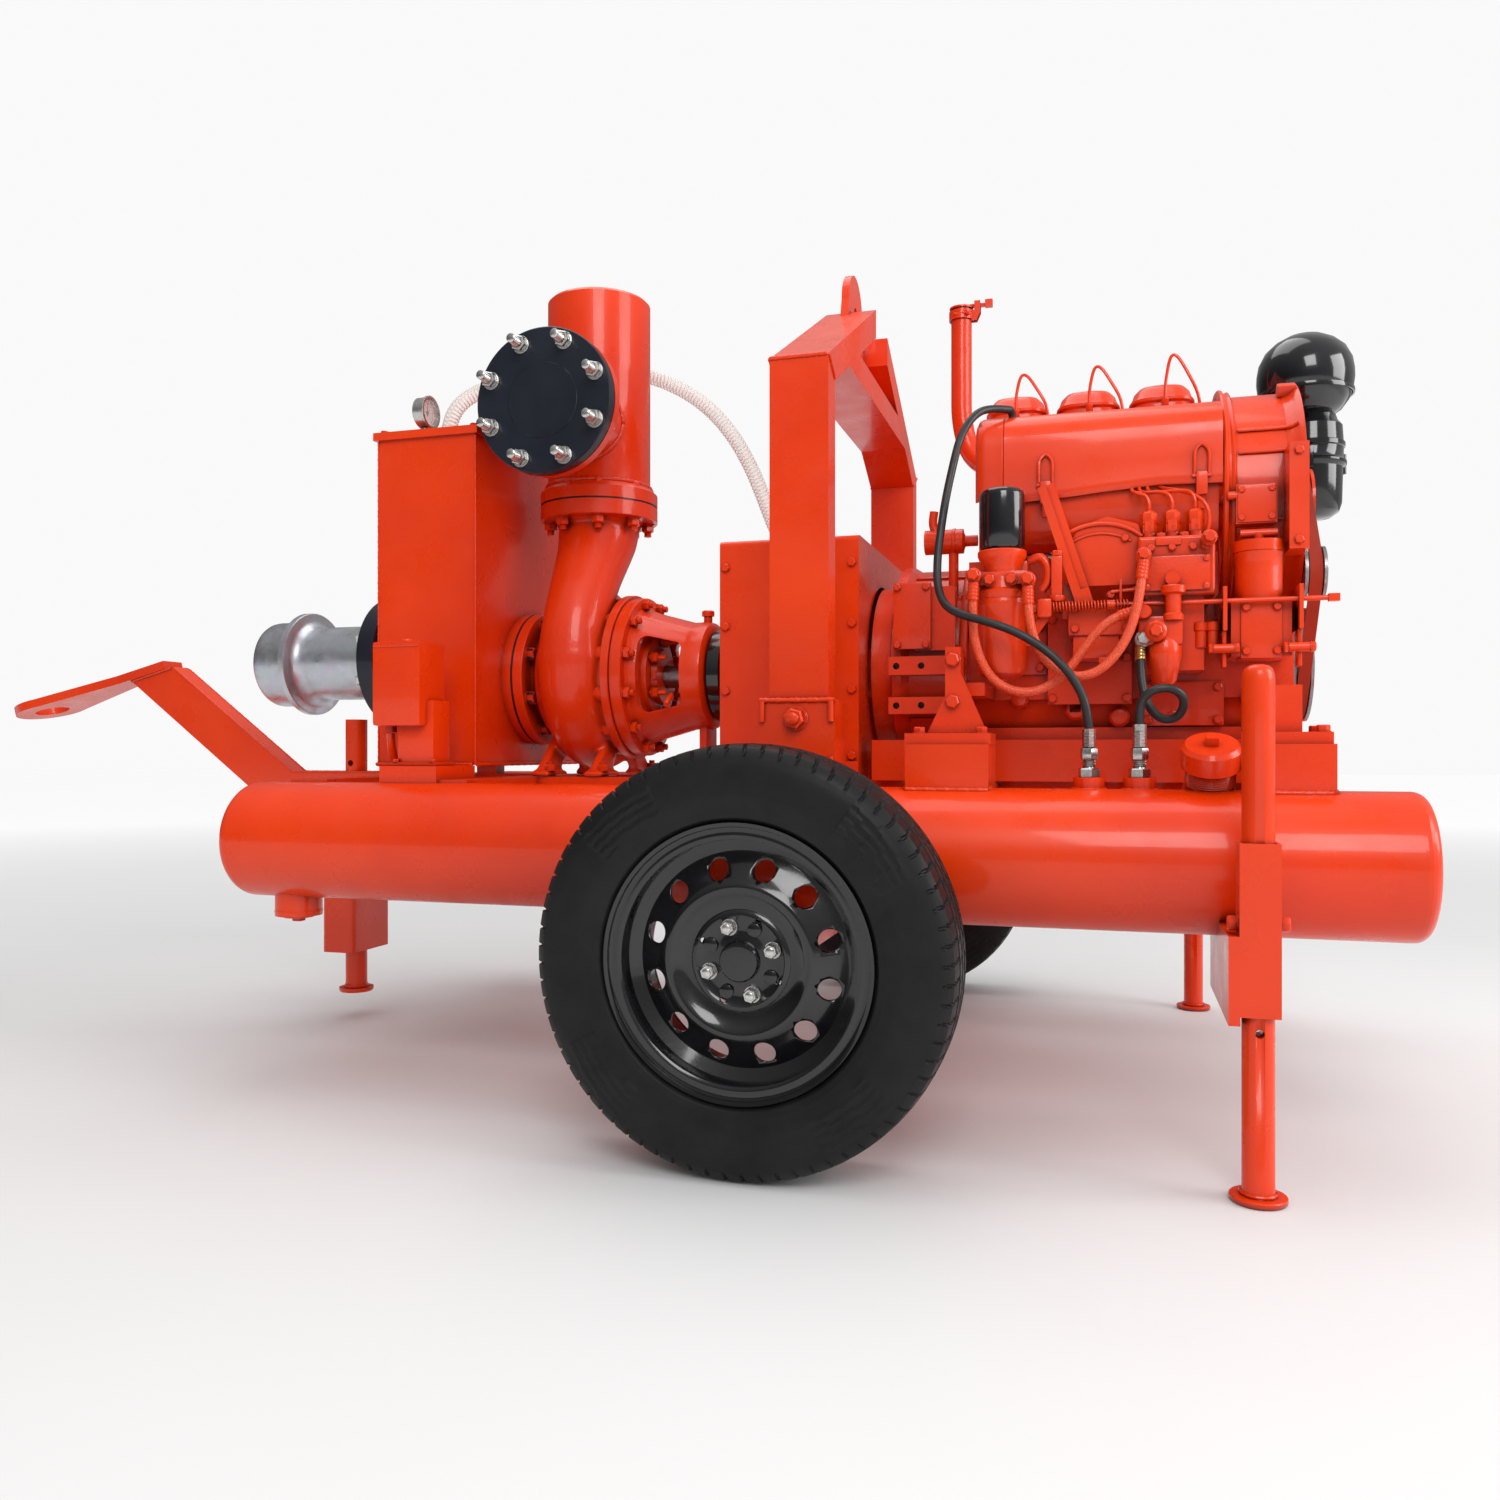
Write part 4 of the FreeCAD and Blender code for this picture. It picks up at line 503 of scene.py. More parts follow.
def build_rim(tag, side):
    """Pressed steel disc welded into a rolled rim, with round vents cut through."""
    centre = joint_place("wheel_%s_spin" % tag)
    axis = Y * side
    face = [(0.0700, 0.1960), (0.0705, 0.1985), (0.0690, 0.1990), (0.0640, 0.1988), (0.0628, 0.1960),
            (0.0622, 0.1800), (0.0600, 0.1778), (0.0300, 0.1778), (0.0240, 0.1700), (0.0200, 0.1600),
            (-0.0120, 0.1600), (-0.0200, 0.1775), (-0.0600, 0.1778), (-0.0622, 0.1960), (-0.0690, 0.1990),
            (-0.0700, 0.1950), (-0.0670, 0.1760), (-0.0640, 0.1735), (-0.0250, 0.1735), (-0.0170, 0.1560),
            (0.0240, 0.1560), (0.0330, 0.1735), (0.0560, 0.1735), (0.0612, 0.1742), (0.0638, 0.1775),
            (0.0645, 0.1805), (0.0638, 0.1830), (0.0637, 0.1890), (0.0650, 0.1915), (0.0690, 0.1930)]
    disc = [(0.0240, 0.1570), (0.0255, 0.1520), (0.0300, 0.1440), (0.0370, 0.1300), (0.0440, 0.1180),
            (0.0500, 0.1110), (0.0520, 0.1060), (0.0510, 0.1010), (0.0470, 0.0950), (0.0425, 0.0890),
            (0.0400, 0.0800), (0.0392, 0.0740), (0.0420, 0.0710), (0.0430, 0.0660), (0.0400, 0.0620),
            (0.0390, 0.0400), (0.0410, 0.0340), (0.0405, 0.0010)]
    roll = Builder()
    roll.lathe(face, centre, axis, 128, joined=True)
    roll.finish("rim_roll_" + tag, "wheel_black", "wheel_" + tag, slot="black_enamel",
                replaces=["wheel_rim_" + tag], sharp=40)
    back = [(a - 0.005, r) for a, r in reversed(disc)]
    plate = Builder()
    plate.lathe(disc + back, centre, axis, 128, joined=True)
    rim = plate.finish("rim_disc_" + tag, "wheel_black", "wheel_" + tag, slot="black_enamel", sharp=40)
    cutter = Builder()
    for x, z in circle_points(12, 0.133, 15):
        cutter.lathe([(-0.02, 0.0155), (0.06, 0.0155)], centre + Vector((x, 0, z)), axis, 32)
    for x, z in circle_points(4, 0.062, 65):
        cutter.lathe([(0.036, 0.0045), (0.046, 0.0045)], centre + Vector((x, 0, z)), axis, 20)
    carve(rim, cutter.finish("vent_cutter_" + tag, "wheel_black", "wheel_" + tag, slot="black_enamel"))

    hub = Builder()
    hub.lathe([(-0.042, 0.0206), (-0.042, 0.048), (-0.030, 0.048), (0.030, 0.037), (0.034, 0.037),
               (0.034, 0.0206)], centre, axis, 64, joined=True)
    hub.lathe([(0.040, 0.0300), (0.0480, 0.0295), (0.0510, 0.0270), (0.0520, 0.0210), (0.0516, 0.0)],
              centre, axis, 64)
    for x, z in circle_points(4, 0.050, 65):
        radial = Vector((x, 0, z)).normalized()
        hub.lathe([(0.039, 0.0105), (0.0425, 0.0100), (0.0440, 0.0070)], centre + radial * 0.049, axis, 32)
    hub.finish("hub_" + tag, "wheel_black", "wheel_" + tag, slot="black_enamel")
    nuts = Builder()
    for x, z in circle_points(4, 0.050, 20):
        nuts.bolt(centre + Vector((x, 0, z)) + axis * 0.0385, axis, 0.019, 0.0135, stud=0.002)
    nuts.finish("hub_nuts_" + tag, "zinc_plate", "wheel_" + tag, replaces=["wheel_nuts_" + tag])


def carve(piece, tool):
    """Cut the tool out of the piece for good and remove the tool."""
    modifier = piece.modifiers.new("carve", "BOOLEAN")
    modifier.operation, modifier.solver, modifier.object = "DIFFERENCE", "EXACT", tool
    settle(piece)
    bpy.data.objects.remove(tool, do_unlink=True)


def settle(piece):
    """Replace the piece's mesh with its modified one."""
    depsgraph = bpy.context.evaluated_depsgraph_get()
    result = bpy.data.meshes.new_from_object(piece.evaluated_get(depsgraph))
    piece.modifiers.clear()
    piece.data = result


# ---------------------------------------------------------------- pump
def at(x, y, z):
    """Point given in millimetres."""
    return Vector((x, y, z)) * MM


def mm(profile):
    """Profile given in millimetres."""
    return [(a * MM, r * MM) for a, r in profile]


def fuse(piece, voxel, rounds):
    """Melt the piece's overlapping shapes into one casting with soft fillets."""
    remesh = piece.modifiers.new("melt", "REMESH")
    remesh.mode, remesh.voxel_size = "VOXEL", voxel
    remesh.use_smooth_shade = True
    smooth = piece.modifiers.new("fillets", "SMOOTH")
    smooth.factor, smooth.iterations = 0.5, rounds
    settle(piece)
    return piece


SHAFT, FAN = at(0, 0, 765), at(0, -50, 1045)
RISER, OUTLET = at(-550, 0, 0), at(-550, 0, 1290)
INLET = at(0, 0, 810)
TANK_OUTLET = at(-708, 0, 765)
PRIMING_PUMP = at(0, 130, 890)
FILTER = at(330, -320, 0)
FILLER_FOOT = at(650, -410, 545)
FILLER = Vector((0, -math.sin(math.radians(28)), math.cos(math.radians(28))))
PIPE_Y, PIPE_Z, PIPE_RADIUS = 433, 440, 109.5
JACK_X, JACK_Y = 695, 623
FERRULES = ((472, 643), (548, 650))  # along the frame tube, and the height where the hose starts


def on_shaft(x, y=0.0, z=0.0):
    """Point measured in millimetres from the pump's shaft line."""
    return SHAFT + at(x, y, z)


def bolt_ring(builder, centre, axis, count, radius, across, start=0.0, **more):
    """Bolts round an axis, all standing on the same face."""
    axis = Vector(axis).normalized()
    side = Z if abs(axis.z) < 0.5 else X
    other = axis.cross(side)
    for a, b in circle_points(count, radius, start):
        builder.bolt(Vector(centre) + side * a + other * b, axis, across, **more)


def screws(builder, columns, y, rows, across, height):
    """Bolts at the corners of a cover that faces the near side."""
    for z in rows:
        for x in columns:
            builder.bolt(at(x, y, z), -Y, across, height)


def build_casing():
    """The volute with its riser neck and feet, melted into one casting, and its machined flanges."""
    body = Builder()
    body.lathe(mm([(-652, 0), (-652, 104), (-640, 128), (-618, 150), (-470, 158), (-457, 160), (-457, 0)]),
               on_shaft(0), X, 96)
    spiral, coil = [], 19
    for step in range(coil):
        share = step / (coil - 1)
        angle = math.radians(100 - 280 * share)
        out = 152 - 30 * share
        spiral.append(on_shaft(-550, out * math.cos(angle), out * math.sin(angle)))
    spiral += [at(-550, -122, 800), at(-550, -118, 850), at(-550, -96, 915), at(-550, -62, 975),
               at(-550, -26, 1030), at(-550, -4, 1075), at(-550, 0, 1110)]
    turn, fineness = coil / (len(spiral) - 1), 4

    def bore(i):
        """The volute widens round its coil, narrows and widens again up the riser."""
        share = i / (fineness * (len(spiral) - 1))
        if share < turn:
            return (44 + 33 * share / turn) * MM
        up = (share - turn) / (1 - turn)
        return (77 - 9 * math.sin(math.pi * min(1.0, up * 1.3)) + 12 * up * up) * MM
    body.tube(spiral, bore, 40, fineness)
    body.lathe(mm([(-692, 0), (-692, 96), (-660, 98), (-640, 112), (-640, 0)]), on_shaft(0), X, 72)
    body.lathe(mm([(1085, 84), (1094, 92), (1104, 104), (1104, 0), (1085, 0)]), RISER, Z, 64)
    for side in (-1, 1):
        leg = [(60, 650), (150, 566), (150, 556), (70, 556), (22, 640)]
        for x in (-628, -509):
            outline = [(side * y * MM, z * MM) for y, z in leg]
            body.plate(outline if side < 0 else outline[::-1], at(x, 0, 0), Y, Z, 0.020, edge=0)
            body.block(at(x - 8, side * 110 - 48, 556), at(x + 34, side * 110 + 48, 567), 0.003)
    casing = body.finish("pump_volute", "cast_orange", replaces=["pump_casing"])
    fuse(casing, 0.0042, 6)

    rings = Builder()
    rings.lathe(mm([(-684.7, 80), (-684.7, 141), (-683.5, 142.5), (-665, 142.5), (-663, 141), (-663, 80)]),
                on_shaft(0), X, 96, joined=True)
    rings.lathe(mm([(1098, 76), (1098, 123.5), (1099.5, 125), (1128.5, 125), (1130, 123.5), (1130, 76)]),
                RISER, Z, 96, joined=True)
    rings.lathe(mm([(-474, 150), (-474, 172), (-472.5, 173.5), (-458.5, 173.5), (-457, 172), (-457, 150)]),
                on_shaft(0), X, 96, joined=True)
    bolt_ring(rings, on_shaft(-663), X, 8, 0.120, 0.024, 22.5)
    for y, z in circle_points(12, 0.1535, 15):
        rings.lathe(mm([(0, 17), (20, 15), (24, 12)]), on_shaft(-474) + Y * y + Z * z, -X, 20)
    rings.bolt(on_shaft(-560, 0, -196), -Z, 0.022)
    rings.finish("pump_flanges", "cast_orange")


def build_bracket():
    """The lantern between pump and coupling, the gland seen through its windows, and the painted bolts."""
    cone = Builder()
    cone.lathe(mm([(-457, 150.3), (-457, 165.5), (-455.5, 167), (-434, 167), (-432, 165), (-431, 148),
                   (-424, 140), (-396, 131), (-326, 112), (-316, 112.5), (-297, 113), (-286, 110),
                   (-280, 101), (-280, 26), (-314, 26), (-320, 60), (-322, 97), (-334, 100), (-418, 121),
                   (-436, 126), (-471, 132), (-471, 149.7)]), on_shaft(0), X, 128, joined=True)
    lantern = cone.finish("pump_lantern", "cast_orange", replaces=["pump_bracket"])
    windows = Builder()
    for side in (-1, 1):
        outline = []
        for cx, cz, first in ((-343, 50, 0), (-396, 62, 90), (-396, -62, 180), (-343, -50, 270)):
            for step in range(7):
                angle = math.radians(first + 15 * step)
                outline.append(((cx + 16 * math.cos(angle)) * MM, (cz + 16 * math.sin(angle)) * MM))
        windows.plate(outline, on_shaft(0, side * 40, 0), X, Z, -side * 0.16, edge=0)
    carve(lantern, windows.finish("window_cutter", "cast_orange"))
    edge = lantern.modifiers.new("soft", "BEVEL")
    edge.width, edge.segments, edge.limit_method, edge.angle_limit = 0.004, 3, "ANGLE", math.radians(50)
    settle(lantern)

    inner = Builder()
    inner.lathe(mm([(-437, 25), (-437, 112), (-430, 116), (-421, 114), (-419, 88), (-409, 86), (-407, 60),
                    (-396, 58), (-394, 25)]), on_shaft(0), X, 72, joined=True)
    for y, z in circle_points(6, 0.073, 30):
        base = on_shaft(-409) + Y * y + Z * z
        inner.lathe([(-0.02, 0.0055), (0.036, 0.0055), (0.037, 0.0045)], base, X, 20)
        inner.bolt(base + X * 0.006, X, 0.019)
    inner.block(on_shaft(-404, -64, -9), on_shaft(-396, 64, 9), 0.003)
    inner.block(at(-318, -52, 556), at(-286, 52, 566), 0.002)
    inner.block(at(-310, -34, 560), at(-294, 34, 700), 0.003)
    inner.tube([at(-302, 0, 872), at(-302, 0, 890)], 0.009, 20)
    inner.lathe([(0, 0.013), (0.010, 0.013), (0.012, 0.011)], at(-302, 0, 890), Z, 24)
    inner.tube([on_shaft(-350, -92, -44), on_shaft(-350, -112, -56), on_shaft(-350, -122, -64)], 0.006, 16)
    bolt_ring(inner, on_shaft(-279), X, 4, 0.068, 0.016, 45)
    inner.finish("gland_and_bearing_cover", "cast_orange")

    bolts = Builder()
    bolt_ring(bolts, on_shaft(-432), X, 12, 0.1535, 0.0205, 15, stud=0.009)
    bolt_ring(bolts, at(-550, 0, 1098), -Z, 8, 0.104, 0.024, 22.5, stud=0.010)
    bolt_ring(bolts, at(-550, 0, 1157), Z, 8, 0.104, 0.024, 22.5)
    for side in (-1, 1):
        face = at(13, side * 483, 661)
        bolts.disc(face, Y * side, 0.021, 0.003)
        bolts.bolt(face + Y * side * 0.003, Y * side, 0.030, 0.014, stud=0.010)
        for x, way in ((669, -1), (721, 1)):
            bolts.bolt(at(x, side * JACK_Y, 375), X * way, 0.019, 0.012)
    for x in (-601, -482):
        for side in (-1, 1):
            bolts.bolt(at(x, side * 135, 567), Z, 0.020, stud=0.006)
    bolts.finish("painted_bolts", "orange_enamel", replaces=["painted_fasteners"])


def build_discharge_details():
    """The blind flange, its studs and the hose ferrules on the side pipe."""
    flange = Builder()
    flange.lathe(mm([(-247.7, 78), (-247.7, 141), (-249, 142.5), (-268, 142.5), (-270, 140.5), (-270, 74),
                     (-271.6, 72.5), (-271.6, 0.5), (-260, 0.5)]), OUTLET, Y, 128, joined=True)
    flange.finish("blind_disc", "black_enamel", replaces=["blind_flange"])
    zinc = Builder()
    for dx, dz in circle_points(8, 0.120, 22.5):
        zinc.bolt(at(-550, -270, 1290) + X * dx + Z * dz, -Y, 0.027, 0.016, stud=0.026)
        zinc.bolt(at(-550, -225, 1290) + X * dx + Z * dz, Y, 0.027, 0.016, stud=0.006)
    for x, top in FERRULES:
        boss = at(x, -405, 567)
        zinc.lathe([(0, 0.0160), (0.0005, 0.0170), (0.0125, 0.0170), (0.014, 0.0155)], boss, Z, 6)
        zinc.lathe(mm([(14, 10), (16, 9), (18, 11), (20, 9), (22, 11), (24, 9), (26, 11), (28, 9),
                       (30, 10.5)]),
                   boss, Z, 28)
        zinc.lathe([(0.028, 0.0128), (0.030, 0.0138), (0.044, 0.0138), (0.046, 0.0125)], boss, Z, 6)
        rows = [(46, 8), (48, 10.6)]
        for step in range(5):
            rows += [(50 + step * 5, 10.8), (51.5 + step * 5, 10.2), (53.5 + step * 5, 10.2)]
        rows.append((top - 567, 10.6))
        zinc.lathe(mm(rows), boss, Z, 8)
    zinc.finish("zinc_bolts_and_ferrules", "zinc_plate", replaces=["zinc_fittings"])


def weld(builder, points, size=0.0045, closed=False):
    """Rippled bead along the points."""
    line = smooth_line(points + ([points[0]] if closed else []), 6)
    total = sum((b - a).length for a, b in zip(line, line[1:]))
    count = max(6, int(total / 0.004))
    dense, spare, step = [line[0]], 0.0, total / count
    for a, b in zip(line, line[1:]):
        length = (b - a).length
        reach = step - spare
        while reach <= length:
            dense.append(a.lerp(b, reach / length))
            reach += step
        spare = (spare + length) % step
    builder.sweep(dense, lambda i: size * (1.0 + 0.16 * math.sin(i * 2.4) + 0.08 * math.sin(i * 0.9)), 8)


def round_weld(builder, centre, axis, radius, size=0.0045, count=24):
    """Weld bead right round a pipe."""
    axis = Vector(axis).normalized()
    side = Z if abs(axis.z) < 0.5 else X
    other = axis.cross(side)
    weld(builder, [Vector(centre) + side * a + other * b for a, b in circle_points(count, radius)], size,
         True)


def build_welds():
    """Weld beads wherever plates and pipes of the frame, the tank and the riser meet."""
    seam = Builder()
    round_weld(seam, at(-550, 0, 1172), Z, 0.1095, 0.005)
    round_weld(seam, at(-550, -225, 1290), Y, 0.0845, 0.005)
    saddle, branch, steps = [], 84, 32
    for step in range(steps):
        angle = 2 * math.pi * step / steps
        dx, dz = branch * math.cos(angle), branch * math.sin(angle)
        saddle.append(at(-550 + dx, -math.sqrt(PIPE_RADIUS ** 2 - dx * dx), 1290 + dz))
    weld(seam, saddle, 0.0055, True)
    for side in (-1, 1):
        for x in (-36, 64):
            weld(seam, [at(x, side * 400, 691), at(x, side * 484, 691)], 0.0035)
        weld(seam, [at(-50, side * 483, 691), at(78, side * 483, 691)], 0.0045)
        for x in (-36, 64):
            weld(seam, [at(x, side * 467, 1258), at(x, side * 417, 1228)], 0.003)
        weld(seam, [at(-36, side * 467, 1258), at(64, side * 467, 1258)], 0.0035)
        for x in (669, 721):
            weld(seam, [at(x, side * 597, 250), at(x, side * 597, 350)], 0.0035)
        base = PIPE_Z + math.sqrt(109.55 ** 2 - (460 - PIPE_Y) ** 2)
        for first, last in ((-50, 78), (188, 320), (705, 820)):
            weld(seam, [at(first, side * 460, base), at(last, side * 460, base)], 0.005)
            for x in (first, last):
                weld(seam, [at(x, side * 460, base), at(x, side * PIPE_Y, 549), at(x, side * 400, 544),
                            at(x, side * 372, 531)], 0.0045)
    for y in (-50, 76):
        for x in (-2, 13):
            weld(seam, [at(x, y, 1440), at(x, y, 1478 if y < 0 else 1462)], 0.004)
    for y in (-250, 250):
        for x in (-930, -708):
            weld(seam, [at(x, y, 582), at(x, y, 1240)], 0.0022)
    for x in (-704, -934):
        weld(seam, [at(x, -250, 581), at(x, 250, 581)], 0.004)
    weld(seam, [at(-930, -254, 581), at(-708, -254, 581)], 0.004)
    round_weld(seam, FILLER_FOOT + FILLER * 0.003, FILLER, 0.0355, 0.0055)
    for x, _ in FERRULES:
        round_weld(seam, at(x, -405, 547), Z, 0.0245, 0.004)
    for y in (-25, 25):
        weld(seam, [at(-1316, y, 560), at(-1655, y, 810)], 0.002)
        weld(seam, [at(-1000, y, 560), at(-1316, y, 560)], 0.002)
    for y in (-26, 26):
        weld(seam, [at(-1660, y, 808), at(-1776, y, 778)], 0.004)
    round_weld(seam, at(-936, 0, 810), X, 0.086, 0.0045)
    seam.finish("weld_beads", "orange_enamel", sharp=80)


# ---------------------------------------------------------------- engine
def shell(builder, grid, thick):
    """Sheet metal from a grid of points, thickened towards its back."""
    rows, columns = len(grid), len(grid[0])
    front = [p for row in grid for p in row]
    back = []
    for r in range(rows):
        for c in range(columns):
            along = grid[min(r + 1, rows - 1)][c] - grid[max(r - 1, 0)][c]
            across = grid[r][min(c + 1, columns - 1)] - grid[r][max(c - 1, 0)]
            back.append(grid[r][c] - along.cross(across).normalized() * thick)
    count = rows * columns
    faces = []
    for r in range(rows - 1):
        for c in range(columns - 1):
            a = r * columns + c
            faces.append((a, a + 1, a + columns + 1, a + columns))
            faces.append((a + count, a + columns + count, a + columns + 1 + count, a + 1 + count))
    border = list(range(columns))
    border += [r * columns + columns - 1 for r in range(1, rows)]
    border += [(rows - 1) * columns + c for c in range(columns - 2, -1, -1)]
    border += [r * columns for r in range(rows - 2, 0, -1)]
    for a, b in zip(border, border[1:] + border[:1]):
        faces.append((b, a, a + count, b + count))
    builder.add(front + back, faces)


def build_cowl():
    """The cooling cowl's pressed skin with its rolled rib, and the clips under its lip."""
    lower = [(280, 1052), (361, 1047), (440, 1052), (493, 1057), (581, 1063), (683, 1061)]

    def lip(x):
        for (x0, z0), (x1, z1) in zip(lower, lower[1:]):
            if x <= x1:
                return z0 + (z1 - z0) * (x - x0) / (x1 - x0)
        return lower[-1][1]

    def section(x):
        rows = [(-248, lip(x) - 6), (-251, lip(x)), (-250, lip(x) + 8), (-250, 1100)]
        for step in range(9):
            angle = math.radians(step * 11.25)
            rows.append((-190 - 60 * math.cos(angle), 1140 + 60 * math.sin(angle)))
        return rows + [(-150, 1200), (-88, 1200)]
    stations = [280 + 5 * i for i in range(8)] + [324, 326, 328] + [340 + 14.3 * i for i in range(25)]
    grid = []
    for x in stations:
        inset = 0.0
        if x < 292:
            inset = 12 - math.sqrt(max(0.0, 144 - (292 - x) ** 2))
        elif x in (324, 328):
            inset = -0.4
        elif x == 326:
            inset = 1.3
        row = []
        for y, z in section(x):
            out = Vector((0, y + 150, max(0.0, z - 1100))).normalized()
            row.append(at(x, y - out.y * inset, z - out.z * inset))
        grid.append(row)
    skin = Builder()
    shell(skin, grid, -0.003)
    skin.block(at(283, -236, 960), at(287, -90, 1187), 0.0015)
    skin.finish("cowl_skin", "orange_enamel", replaces=["engine_cowl"])
    inner = Builder()
    panel = []
    for i in range(20):
        x = 292 + i * 20.3
        panel.append([at(x, y, z) for y,
                      z in ((-238, 1070), (-238, 1030), (-234, 1000), (-226, 980), (-212, 967),
                                               (-190, 962))])
    shell(inner, panel, 0.0025)
    for x in (398, 650):
        inner.block(at(x - 9, -262, 1034), at(x + 9, -250, 1072), 0.003)
        inner.tube([at(x - 15, -256, 1066), at(x + 15, -256, 1066)], 0.0035, 12)
        inner.block(at(x - 6, -252, 1012), at(x + 6, -243, 1046), 0.003)
        hoop = [at(x - 11, -256, 1066), at(x - 11.5, -259, 1090), at(x - 10, -258, 1108), at(x, -256, 1118),
                at(x + 10, -258, 1108), at(x + 11.5, -259, 1090), at(x + 11, -256, 1066)]
        inner.tube(hoop, 0.0026, 10)
    inner.finish("cowl_clips_and_panel", "orange_enamel")


def build_rockers():
    """Rounded covers over the three heads, with their nuts and leak-off pipes."""
    covers = Builder()
    for x, peak in ((335, 12), (465.5, 15), (596, 23)):
        grid_rows = [(1215, 56, 78), (1232, 56, 78), (1240, 54, 76), (1244, 58, 80), (1249, 58, 80),
                     (1254, 54, 76), (1266, 50, 70), (1275, 42, 60), (1280, 28, 44), (1281, 0.5, 0.5)]
        corners, segments = [], 48
        for z, half_x, half_y in grid_rows:
            for i in range(segments):
                angle = 2 * math.pi * i / segments
                c, s = math.cos(angle), math.sin(angle)
                corners.append(at(x + half_x * math.copysign(abs(c) ** 0.6, c),
                                  -12 + half_y * math.copysign(abs(s) ** 0.6, s), z))
        covers.add(corners, covers.ring_faces(len(grid_rows), segments))
        covers.bolt(at(x, -12, 1280), Z, 0.019, 0.009)
        covers.bolt(at(x + 3, -112, 1200), Z, 0.020, 0.020, stud=0.018)
        covers.lathe(mm([(0, 14), (16, 14), (20, 10), (24, 10)]), at(x + 3, -112, 1200), Z, 24)
        covers.tube([at(x + 3, -112, 1240), at(x + 4, -112, 1268), at(x + 12, -114, 1287 + peak),
                     at(x + 24, -116, 1287 + peak), at(x + 42, -118, 1266 + peak / 2), at(x + 56, -118, 1246),
                     at(x + 61, -116, 1222), at(x + 62, -114, 1204)], 0.0028, 10)
        covers.bolt(at(x + 62, -114, 1202), Z, 0.013, 0.009, washer=False)
    covers.finish("rocker_domes_and_leak_pipes", "orange_enamel", replaces=["rocker_covers"])


def build_fan_end():
    """Rolled lips, tie wires and a cover plate on the fan housing."""
    extra = Builder()
    extra.lathe(mm([(684, 197), (684, 206), (686, 209), (689, 210), (692, 209), (694, 205), (697, 203.5),
                    (700, 205), (702, 205.5), (704, 203), (706, 197)]), FAN, X, 128, joined=True)
    extra.lathe(mm([(784, 196.5), (792, 199), (800, 205), (805, 210.5), (810, 212), (811, 208), (811, 199),
                    (800, 193), (786, 192)]), FAN, X, 128, joined=True)
    for degrees in (150, 163, 196, 30, 17, 345):
        angle = math.radians(degrees)
        y, z = math.cos(angle), math.sin(angle)
        extra.tube([FAN + at(712, y * 196, z * 196), FAN + at(716, y * 199, z * 199),
                    FAN + at(784, y * 199, z * 199), FAN + at(800, y * 207, z * 207)], 0.0032, 10, 3)
    for degrees in (118, 62):
        turn = Matrix.Rotation(math.radians(degrees), 3, "X")
        middle = FAN + at(790, 0, 0)
        extra.block(middle + at(-12, 196, -12), middle + at(18, 216, 12), 0.004, turn, middle)
    extra.block(at(704, -271, 982), at(762, -266, 1043), 0.003)
    screws(extra, (710, 756), -268, (990, 1036), 0.010, 0.005)
    extra.lathe([(0, 0.007), (0.016, 0.007), (0.018, 0.005)], at(706, -262, 1028), -X, 20)
    for z in (944, 1086):
        extra.bolt(at(791, -306, z), -Y, 0.012, 0.005)
    extra.finish("fan_housing_ribs", "orange_enamel")


def build_engine_side():
    """Covers, plugs and bolts of the crankcase and the flywheel housing on the near side."""
    cast = Builder()
    # cam side: covers, bosses, plugs and the sump flange
    for x in range(280, 790, 46):
        cast.bolt(at(x, -168, 628), -Z, 0.013, 0.007)
    cast.block(at(284, -192, 744), at(398, -184, 838), 0.003)
    cast.block(at(556, -192, 652), at(690, -184, 728), 0.003)
    screws(cast, (296, 386), -192, (756, 828), 0.013, 0.007)
    screws(cast, (566, 680), -192, (662, 718), 0.013, 0.007)
    for x, z, r in ((446, 682, 17), (520, 668, 15), (610, 668, 12), (735, 700, 16), (350, 700, 13)):
        cast.lathe(mm([(0, r + 3), (4, r + 2), (5, r), (9, r - 1), (10, r - 3)]), at(x, -184, z), -Y, 32)
    cast.block(at(432, -194, 672), at(460, -184, 702), 0.005)
    for x in (408, 532):
        screws(cast, (x,), -215, (700, 770, 838), 0.013, 0.007)
    # flywheel housing: cover plate, bolts and ribs
    cast.block(at(128, -224, 792), at(196, -210, 912), 0.004)
    screws(cast, (136, 188), -224, (800, 904), 0.012, 0.006)
    cast.lathe(mm([(243, 180), (243, 197), (246, 199), (256, 199), (258, 197), (258, 180)]), on_shaft(0), X,
               96, joined=True)
    bolt_ring(cast, on_shaft(243), -X, 12, 0.190, 0.016, 10)
    for degrees in (120, 150, 210, 240, 300, 60, 30, 330):
        turn = Matrix.Rotation(math.radians(degrees), 3, "X")
        cast.block(on_shaft(152, 188, -4), on_shaft(244, 200, 4), 0.002, turn, SHAFT)
    # breather canister and its elbow
    cast.lathe(mm([(176, 8), (176, 20), (180, 22.5), (226, 22.5), (228, 24), (232, 24), (233, 21), (246, 21),
                   (248, 14), (250, 10), (272, 10)]), at(0, -150, 995), X, 40)
    cast.tube([at(196, -150, 1010), at(190, -150, 1030), at(192, -150, 1052)], 0.008, 16)
    # bolts of the engine feet
    for side in (-1, 1):
        for z in (689, 757):
            cast.bolt(at(258.5, side * 410, z), Y * side, 0.020, 0.010)
        for x in (206, 306, 720, 806):
            for y in ((425,) if x < 400 else (362, 430)):
                cast.bolt(at(x, side * y, 637), Z, 0.017, 0.009)
    cast.finish("engine_castings", "cast_orange")


